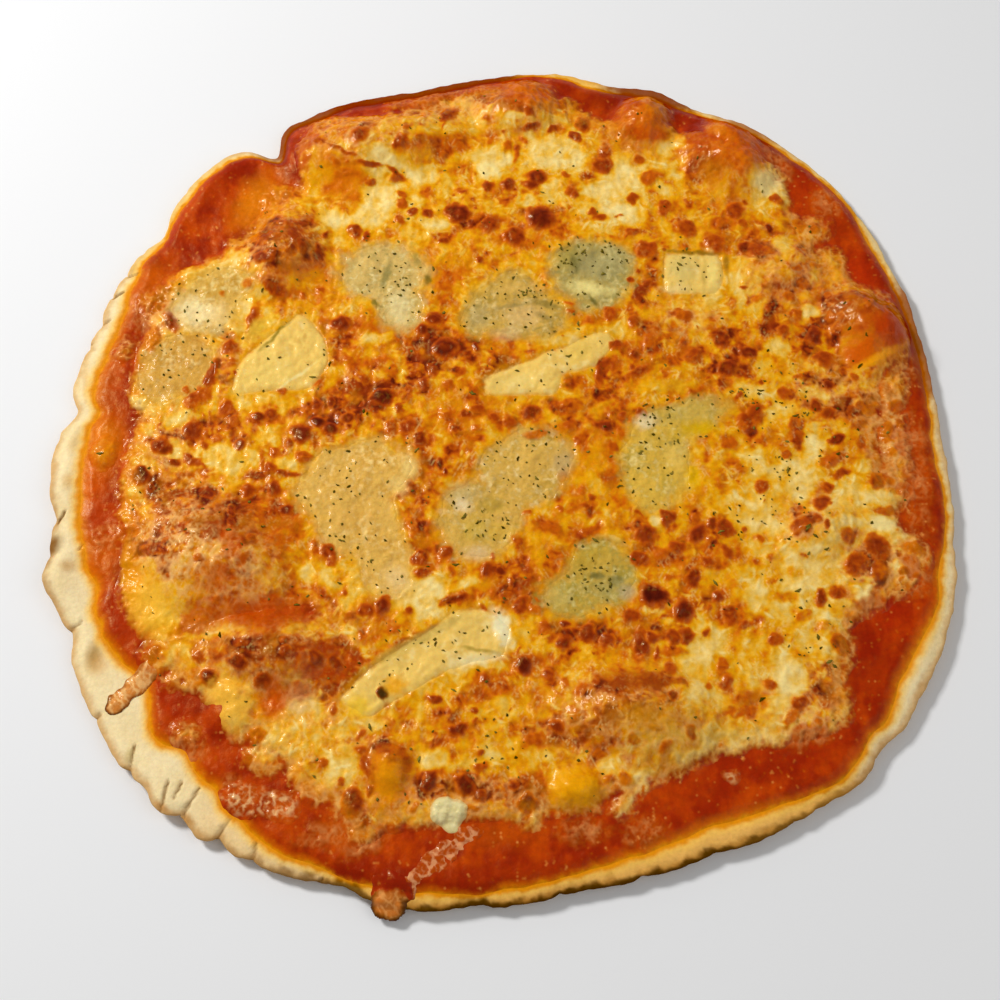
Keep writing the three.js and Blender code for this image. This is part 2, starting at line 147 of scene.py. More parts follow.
ORANGE_ZONES = (
    (-60, 110, 11, 11, 0, 1.2), (-88, 102, 8, 12, -20, .7), (-70, 66, 15, 9, -60, 1),
    (-26, 126, 16, 6, 10, .8), (10, 150, 12, 10, 0, 1.3), (55, 140, 14, 9, 0, 1.2), (52, 128, 12, 8, 0, 1),
    (88, 122, 13, 17, -20, 1.3), (84, 100, 8, 14, 0, .5), (130, 84, 10, 12, 0, 1.2),
    (141, 50, 9, 13, 10, 1.2), (134, 38, 12, 6, 38, 1.2), (128, 45, 10, 12, 0, .7),
    (30, -6, 16, 15, 0, 1.2), (20, -33, 14, 7, 0, 1), (-20, 72, 10, 16, 0, .8), (-45, 50, 12, 6, 0, .9),
    (-10, 43, 16, 8, 0, .8), (8, 86, 14, 7, 0, .6), (-37, -118, 8, 10, 0, 1.2), (-22, -30, 8, 13, 20, .9),
    (-12, 14, 16, 10, 0, .8), (28, 14, 22, 8, 0, .8), (45, 32, 10, 14, 0, .7), (60, 48, 14, 8, 0, .7),
    (-92, -58, 22, 14, 0, .9), (-85, -30, 16, 12, 0, 1), (62, -36, 22, 12, 0, .7), (20, -62, 18, 10, 0, .7),
    (75, 88, 22, 10, 0, .6), (105, 74, 18, 12, 0, .8), (-5, -88, 12, 8, 0, .4), (-40, -62, 12, 8, 0, .8),
    (-60, -38, 5, 5, 0, .8), (82, -94, 8, 6, 0, .8), (68, -105, 12, 4, 15, .7), (108, 52, 12, 14, 0, .6),
    (-80, 14, 26, 7, 5, .6), (0, 98, 22, 8, 0, .5), (-130, 0, 6, 10, 0, .5), (35, -2, 10, 22, 0, .5),
    (-78, -90, 10, 10, 0, .6), (122, 104, 8, 14, 25, 1), (0, -135, 14, 4, 0, .7), (50, -74, 18, 7, 0, .6),
    (-45, 35, 20, 8, 30, .5), (70, 22, 12, 6, 0, .6), (5, -50, 12, 12, 0, .8),
)
RED_ZONES = (
    (-80, -62, 24, 8, 5, 1), (-60, -79, 14, 8, -10, 1.1), (-98, -55, 7, 13, -20, .7),
    (42, 147, 10, 6, 0, 1.5), (75, 130, 6, 8, 0, 1.2), (86, 139, 12, 4, -10, 1), (137, 72, 7, 5, -30, 1.3),
    # The zone at (-76, 90) is painted shade on the upper left bulge, in the sauce's red.
    (143, 46, 4, 9, 20, .9), (-76, 90, 6, 13, -20, .7), (-82, -28, 14, 10, 0, .6),
    (-70, -88, 8, 5, -40, .8), (98, 128, 6, 12, 45, .8), (-20, 152, 34, 4, 12, 1),
    (-74, 130, 5, 12, -35, .9), (90, 110, 5, 12, 0, .6), (12, 153, 12, 5, 0, .4), (60, 133, 8, 5, 0, .5),
    (88, 127, 11, 12, 0, .7), (54, 140, 11, 9, 0, .7), (136, 54, 9, 9, 0, .6), (10, 150, 10, 7, 0, .6),
    (148, 0, 5, 22, 0, .8), (125, -55, 8, 5, 0, .6), (120, 92, 6, 8, 0, .5),
)
TOAST_ZONES = (
    (-45, 20, 15, 7, 0, 1.2), (-22, 36, 12, 9, 40, 1.2), (-62, 12, 14, 7, 0, 1.1), (-84, 12, 12, 5, 0, .8),
    (-85, 80, 11, 13, 0, .35), (84, 34, 9, 14, 0, 1.1), (115, 42, 7, 10, 0, .9), (47, -86, 18, 6, -5, .35),
    (100, 52, 8, 15, 20, .7), (118, 20, 18, 14, 0, .7), (26, -70, 13, 7, 0, .9), (62, -32, 20, 8, 0, .7),
    (-12, -122, 15, 5, 0, .8), (15, 95, 8, 7, 0, .8), (-16, 97, 6, 8, 0, .7), (8, 107, 14, 6, 0, .6),
    (-88, -22, 16, 8, 0, .3), (-105, 8, 22, 7, 10, .8), (128, -42, 10, 9, 0, .9), (108, -28, 9, 8, 0, .6),
    (-127, 60, 7, 10, 0, .8), (-118, 77, 9, 5, 20, .9), (105, 72, 18, 13, 0, .5), (65, 88, 16, 8, 0, .5),
    (-12, -102, 10, 7, 0, .5), (5, -46, 12, 12, 0, .6), (-25, -26, 8, 12, 20, .7), (-103, 28, 7, 12, 0, .7),
    (52, 62, 7, 14, 0, .6), (135, 20, 8, 16, 0, .5), (60, -68, 12, 7, 0, .7), (-68, -72, 20, 9, -8, .2),
    (30, 14, 22, 8, 0, .6), (-5, 40, 16, 7, 0, .6), (40, 28, 7, 10, 0, .7), (-120, -8, 12, 5, 20, .4),
)
# Where the blanket is more baked, or paler, than its colour zones make it: in the same form, with a change
# in tone instead of a strength.
TONE_SHIFTS = (
    (75, 120, 9, 9, 0, .2), (98, 105, 13, 8, 0, -.13), (30, 120, 8, 8, 0, .14), (-38, 120, 13, 8, 0, -.12),
    (15, 105, 8, 8, 0, -.12), (-30, 90, 8, 8, 0, -.15), (66, 90, 14, 8, 0, -.12), (-90, 75, 8, 8, 0, .2),
    (-90, 60, 8, 8, 0, -.13), (-30, 30, 8, 8, 0, .17), (0, 30, 7, 7, 0, .19), (-90, 15, 20, 8, 0, -.17),
    (22, 15, 14, 8, 0, -.08), (135, 15, 8, 8, 0, -.06), (-30, 0, 8, 8, 0, .14), (-112, -15, 14, 8, 0, .1),
    (-112, -30, 14, 10, 0, .25), (60, -30, 9, 8, 0, -.16), (90, -30, 9, 8, 0, -.15),
    (135, -30, 8, 8, 0, -.16), (42, -90, 18, 8, 0, .2), (30, -104, 9, 8, 0, .18), (125, 5, 14, 14, 0, .09),
    (-105, -60, 9, 8, 0, -.14), (105, -90, 8, 8, 0, .22), (14, -105, 14, 8, 0, .16),
    (10, -120, 20, 8, 0, .24), (-98, 0, 16, 8, 0, .1), (75, 15, 8, 8, 0, .08), (90, 45, 8, 8, 0, .09),
    (122, 58, 8, 8, 0, .09), (138, 52, 8, 12, 0, .1), (135, 0, 8, 10, 0, .1), (105, -30, 8, 8, 0, .12),
    (-15, -105, 10, 8, 0, .1), (-45, -105, 12, 8, 0, .1), (-60, -90, 8, 8, 0, .08),
    (-82, -75, 14, 8, 0, .1), (-60, 75, 8, 8, 0, .07), (-45, -75, 8, 6, 0, .06), (0, -75, 8, 6, 0, .07),
    (68, -107, 11, 6, 0, -.12), (-98, -95, 10, 9, 0, -.12), (135, -30, 8, 8, 0, -.14),
    (60, -75, 9, 8, 0, -.1), (-85, 90, 6, 5, 0, .15), (-60, 135, 9, 7, 0, .12), (-120, 60, 8, 8, 0, .15),
    (0, 30, 8, 8, 0, .1), (-30, 45, 8, 8, 0, .12), (-45, 15, 8, 8, 0, .12), (75, 15, 7, 8, 0, .1),
    (-12, -8, 8, 12, 0, .12), (-110, -38, 12, 10, 0, .1), (-75, -60, 8, 8, 0, .12), (75, -60, 8, 8, 0, .12),
    (-60, -105, 9, 8, 0, .12), (75, -105, 9, 7, 0, -.1), (45, 0, 8, 8, 0, -.08), (0, 150, 10, 5, 0, .15),
    (-88, 72, 9, 8, 0, .1), (-120, -15, 8, 8, 0, .1), (-98, -30, 12, 8, 0, .09), (-128, -34, 5, 8, 0, .1),
    (76, 122, 9, 9, 0, .1), (-60, -60, 8, 8, 0, .1), (-75, -76, 9, 8, 0, .08), (-110, -88, 8, 7, 0, .1),
    (-90, -112, 8, 7, 0, .1), (-30, -120, 9, 8, 0, .1), (135, 0, 7, 9, 0, .08), (132, -45, 8, 8, 0, .08),
    (105, 90, 8, 8, 0, .08), (0, 30, 8, 7, 0, .07), (-122, 58, 7, 8, 0, .1), (-60, 5, 5, 5, 0, .15),
    (60, -105, 9, 8, 0, -.1), (-88, -104, 9, 6, 0, -.08), (0, -45, 8, 8, 0, -.1), (15, -30, 8, 8, 0, -.1),
    (30, -14, 8, 8, 0, -.1), (120, -75, 8, 8, 0, -.09), (45, 90, 8, 8, 0, -.08), (-105, -90, 6, 6, 0, -.06),
    (-15, 105, 9, 8, 0, -.08), (30, 135, 8, 8, 0, -.08), (-98, -50, 12, 8, 0, .09),
    (-120, -84, 7, 7, 0, .12), (-45, -134, 9, 6, 0, .12), (0, -134, 10, 6, 0, -.12),
    (-120, 16, 6, 8, 0, .1), (60, -120, 8, 6, 0, -.08), (-14, -121, 11, 3.5, 0, .2),
)
# Where the blanket is stringy: in the form of the colour zones.
STRINGY_ZONES = (
    (-108, -38, 20, 22, 0, 1.2), (-75, -75, 26, 18, 0, .8), (88, 118, 14, 20, 0, .5),
    (52, 132, 16, 14, 0, .5), (130, 56, 12, 12, 0, .3), (45, -100, 28, 16, 0, .9), (-85, 84, 16, 16, 0, .8),
    (-112, 48, 18, 20, 0, .6), (5, 145, 20, 14, 0, .7), (-60, 130, 26, 10, 15, .8),
    (110, -33, 18, 14, 0, .9), (110, 70, 20, 16, 0, .7), (105, -95, 20, 14, 0, .9),
    (-70, -100, 30, 12, 0, .8), (130, -55, 14, 16, 0, .9), (0, -128, 40, 8, 0, .8),
    (140, 10, 10, 30, 0, .8), (68, 52, 14, 10, 0, .6), (-125, 10, 12, 30, 0, .7),
)

# Where the blanket is smooth, and where a net of pale threads covers it: in the same form.
CALM_ZONES = (
    (-120, -58, 7, 12, 12, 1.2), (-91, -92, 7, 9, 10, 1.2), (25, -121, 7, 6, 0, 1.2),
    (-37, -118, 6, 8, 0, 1), (136, 44, 12, 8, 35, 1.2), (-60, 112, 9, 9, 0, 1),
)
NETTED_ZONES = (
    (-112, -38, 13, 19, -20, 1.2), (-94, -46, 16, 16, 0, .9), (-80, -62, 14, 6, 0, .5),
    (-75, -88, 9, 8, 0, .7), (-80, 82, 10, 10, 0, .4), (48, -101, 18, 8, 0, .8), (88, 122, 11, 14, 0, .3),
    (55, 138, 12, 8, 0, .3), (138, 8, 9, 20, 0, .8), (138, -42, 8, 8, 0, .8), (100, -100, 12, 6, 15, .8),
    (-15, 145, 22, 7, 8, .7), (-120, 52, 8, 12, 0, .8), (-10, -124, 26, 6, 0, .6),
    (-55, -125, 14, 7, 0, .6), (118, 22, 12, 12, 0, .5), (104, 72, 14, 9, 0, .5),
)

RAISED_TONE = .66  # details at least this baked are raised blisters

# Details of the blanket: (x, y, radius, tone), where tone is how baked they look, from 0, cream, to
# 1.1, black.
SPOTS = (
    # Left fold and right edge.
    (148, 22, 2.2, .86), (131, 14.5, 2.3, .82), (137, 4, 1.9, .76), (139, -2, 2, .72), (-75, -24, 3.2, .95),
    (-93.5, -29, 1.8, .88), (-128, -31, 2, .86), (-86, -34, 1.8, .8), (-104, -42, 1.7, .74),
    (-88, -41, 1.8, .78), (-97, -57, 2, .72),
    # Upper left.
    (-113, 79, 3.5, .92), (-103, 80, 2.5, .72), (-98, 80, 1.5, .72), (-88, 77, 3.2, .88), (-85, 80, 2, .88),
    (-93, 66, 2.5, .7), (-66, 63, 1.5, .8), (-98, 39, 3, .84), (-97, 34, 2, .74), (-103, 62, 1.4, .7),
    (-135, 44, 2, .92), (-139, 35, 2.4, .9), (-126, 57, 3, .92), (-81, 104, 2.5, .88), (-77, 105, 2, .8),
    (-58, 142, 2, .85), (-54, 142, 2, .75), (-20, 140, 3.8, .85), (-54, 131, 3.8, .86),
    (-38, 128, 3.6, .86), (-36, 135, 1.6, .74), (-46, 129, 1.5, .62), (-49, 110, 2.2, .8),
    (-40, 112, 2.8, .75), (-37, 104, 2, .75), (-37, 100, 2.1, .75), (-22, 122, 2.5, .74),
    (-63, 119, 1.5, .8), (-21, 84, 2, .84), (-55, 88, 3, .84), (-50, 86, 2, .84), (-65, 87, 1.8, .84),
    (-38, 93, 2.3, .76), (-33, 97, 2, .84), (-27, 96, 2.2, .84), (-16, 96, 4.6, .93), (-4, 91, 4, .85),
    (5, 86, 4, .88), (-8, 76, 1.4, .84), (-6, 79, 1, .9), (-58, 49, 3.6, .9), (-24, 51, 3, .88),
    (-29, 46, 3, .9), (-20, 39, 4.4, .96), (-9, 40, 1.6, .9), (-42, 20, 4, .99), (-36, 15, 2.4, .84),
    (-66, 16, 2.2, .9), (-61, 17, 2, .88), (-58, 13, 1.5, .86), (-25, 30, 2.8, .84), (-28, 25, 2.2, .84),
    (-33, 22, 2, .8), (-50, 27, 2, .8), (-45, 33, 2.4, .76), (-54, 34, 2.2, .74), (-38, 30, 2.2, .72),
    (-15, 30, 2, .76), (-18, 24, 2.2, .74), (-10, 22, 2, .74),
    # Top and upper right.
    (24, 146, 2.5, .82), (11, 142, 2.6, .84), (32, 136, 3.4, .92), (20, 134, 2, .82), (29, 130, 2.4, .88),
    (-4, 128, 2, .7), (3, 127, 2.2, .72), (9, 128, 2, .72), (3, 109, 3, .88), (-4, 108, 2.4, .86),
    (14, 112, 3.5, .93), (11, 109, 2.6, .86), (2, 101, 2, .66), (15, 94, 5.6, .94), (39, 117, 4.2, .84),
    (25, 113, 2, .76), (27, 105, 2.8, .8), (35, 97, 2, .8), (50, 102, 2.4, .8), (57, 112, 4, .74),
    (53, 120, 2.4, .76), (62, 99, 2.8, .82), (50, 88, 2.6, .8), (54, 80, 3.8, .8), (40, 53, 3.2, .8),
    (49, 50, 2.5, .8), (49, 37, 2.2, .85), (54, 42, 2.8, .75), (28, 24, 3.4, .66), (70, 36, 3.5, .8),
    (78, 48, 3.6, .67), (80, 43, 3.4, .93), (90, 38, 3.2, .93), (82, 31, 4, .92), (84, 37, 2.6, .45),
    (70, 90, 4, .82), (80, 83, 3.8, .78), (88, 97, 3.6, .84), (91, 81, 2.4, .9), (62, 97, 2.6, .78),
    (83, 92, 2.6, .72), (91, 92, 2, .78), (100, 90.5, 1.9, .97), (113, 92, 3, .86), (118, 89, 1.8, .8),
    (104, 102, 2.4, .8), (114, 44, 3.6, .92), (117, 35, 3.8, .82), (111, 28, 2.6, .67), (118, 24, 2.4, .9),
    (103, 46, 2.4, .8), (102, 33, 2.2, .67), (102, 21, 2.8, .78), (113, 16, 2.4, .9), (143, 56, 2.4, .8),
    (120, 52, 2.2, .74), (109, 53, 2.2, .72), (95, 60, 2, .7), (106, 60, 2.2, .74), (112, 66, 2.4, .72),
    # Left.
    (-120, 0, 3.8, .88), (-109, 6, 4, .87), (-121, 11.5, 1.6, .67), (-110, 16, 3.2, .74),
    (-98, 15, 2.8, .82), (-95, 10, 2.2, .76), (-98, 7, 2.2, .7), (-101, 3, 2, .72), (-105, 0, 2, .78),
    (-92, 1, 2.6, .9), (-86, 12, 2.2, .94), (-82, 13, 2, .86), (-71, 5, 3.8, .94), (-65, 10, 3, .98),
    (-60, 7, 2.8, .95), (-54.5, 11.5, 2.2, .92), (-75, 1, 1.7, .82), (-79, -2, 2, .78), (-81, -8, 2.6, .84),
    (-69, -4, 3, .78), (-126, -11, 3.6, .98), (-122, -16, 1.5, .9), (-132, -18, 1.3, .9),
    (-136, -8, 1.5, .84), (-88, -17, 2.6, .82), (-79, -16, 3, .88), (-102, -18, 2.4, .9),
    (-131, -31, 2.2, .9), (-117, -38, 2.6, .92), (-93, -24, 2.2, .92), (-78, 22, 2, .8),
    (-104, 26, 2.2, .84), (-112, 23, 2, .76),
    # Middle.
    (-39, 8, 3, .78), (-33, 8, 3.2, .84), (-28, 2.5, 3, .9), (-16, 7, 1.8, .86), (-12, 12, 1.8, .86),
    (-19, 13, 2, .76), (-8, 15, 2.4, .8), (-3, 12, 2, .8), (3, 10, 2.4, .78), (11, 13.5, 3.2, .89),
    (-17, 0, 1.5, .76), (-21.5, -6, 1.8, .97), (-19, -9, 1.5, .9), (-32, -15, 2.4, .85), (-28, -42, 3, .85),
    (-19, -40, 2.8, .82), (-60, -39, 2.6, .86), (-40, -59, 3.5, .89), (-46, -61, 2.9, .85),
    (-31, -61, 1.5, .8), (38, 8, 2.4, .92), (25, 9, 2.4, .76), (28, 3, 2, .78), (40, 0, 1.9, .76),
    (51, 13, 2.4, .84), (40, -9, 3.4, .67), (22, -11, 2.8, .67), (28, -18, 2.4, .7), (32, -19.5, 1.3, .8),
    (21, -24, 1.8, .74), (58, -27, 3.2, .85), (50, -33, 4.2, .87), (68, -33, 3.8, .89), (73, -29, 2.2, .87),
    (78, -31, 3.4, .87), (68, -27, 2.4, .76), (61, -38, 3, .83), (55, -40, 3.4, .72), (47.5, -42, 2.7, .87),
    (79, -40, 2.5, .8), (71, -42.5, 2.4, .82), (66, -49, 2.7, .91), (58, -49, 1.5, .72),
    (52.5, -55, 4.9, 1), (62, -61, 4.2, .95), (57, -57, 1.5, .86), (74, -56, 2.7, .87), (78, -63, 3.3, .86),
    (45, -63, 2.8, .84), (84, -66, 2.5, .78), (93, -71, 2.5, .8), (52, -70, 2.4, .86), (58, -70, 2.8, .86),
    (63, -70, 2.6, .86), (57, -81, 2.6, .76), (74, -80, 2.7, .76), (81, 1, 2.4, .72), (-4, -46, 2.2, .86),
    (0, -47, 2, .89), (2, -55, 2.3, .8), (7, -59, 3, .86), (10, -46, 2, .8), (6, -35, 2.4, .78),
    (8, -80, 3.3, .97), (-5, -85, 2.2, .84), (16, -84, 2.2, .84), (21, -85, 2, .74), (27, -88, 2.4, .76),
    (29, -69, 3.4, .88), (22, -72, 3.2, .88), (22, -65, 1.8, .9), (36, -71, 2.4, .84), (14, -67, 2.6, .76),
    (24, -96, 3, .7), (12, -60, 2, .72), (-22, -92, 2, .86), (-20, -97, 1.4, .9), (-9, -95, 1.6, .84),
    (-14, -102, 2.7, .91), (19, -101, 2.8, .87),
    # Right.
    (91, 13, 3.4, .82), (91, 2, 2.2, .72), (86, -9, 2.3, .68), (91, -15, 2.9, .78), (90, -35, 1.6, .73),
    (117, 13, 2.9, .85), (128, 16, 2.2, .76), (134, 16, 2.8, .78), (142, 17, 3, .85), (149, 18, 2.4, .9),
    (143, 9, 2.3, .87), (137, 7, 3, .83), (119, 3, 2.6, .95), (104, 9, 2.4, .78), (101, -3, 2, .76),
    (114, -15, 2.5, .83), (112, -21, 2.8, .85), (132.5, -13, 3.2, .94), (110, -27, 2.2, .79),
    (120, -34, 2.9, .78), (130, -38, 4.3, .86), (123, -44, 4.2, .84), (144, -38, 3, .84),
    (138, -46, 2, .88), (109, -56, 2.8, .89), (115, -54, 3, .82), (101, -47, 2.2, .67), (103, -62, 2.3, .7),
    (120, -63, 2.6, .68), (115, -73, 3.4, .89), (109, -66, 2.6, .68), (94, -41, 1.8, .7), (76, -86, 3, .8),
    (90, -87, 2.3, .79), (99, -93, 3, .86), (96, -98, 3.2, .72), (105, -88, 1.4, .86), (63, -103, 2.2, .83),
    (57, -91, 1.5, .89),
    # Front.
    (-97, -84, 3.3, .96), (-88, -79, 3.2, .91), (-79, -85, 3.2, .89), (-103, -95, 3, .87),
    (-84, -112, 2.5, .89), (-81, -104, 3.4, .83), (-90, -111, 1.5, .87), (-83, -125, 3.2, .87),
    (-74, -128, 2.4, .87), (-63, -127, 2.8, .89), (-48, -126, 4.3, .89), (-52, -119, 1.8, .76),
    (-58, -113, 2, .74), (-46, -109, 2, .76), (-42, -122, 2.1, .87), (-23, -119, 3.4, .94),
    (-12, -120.5, 3.4, .94), (-7, -123, 2.4, .87), (4, -121, 2, .87), (9, -126, 3, .94), (11, -105, 3, .76),
    (32, -110, 2, .72), (-6, -115, 2.4, .76), (35, -118, 1.6, .74), (41, -118, 2.8, .74),
    (44, -105, 1.9, .76), (54, -108, 2.4, .73), (-56, -79, 2.7, .93), (-62, -77, 2.6, .9),
    (-67, -88, 2.2, .76), (-72, -75, 2.4, .87), (-101, -77, 1.8, .8), (-117, -76, 2.8, .88),
)
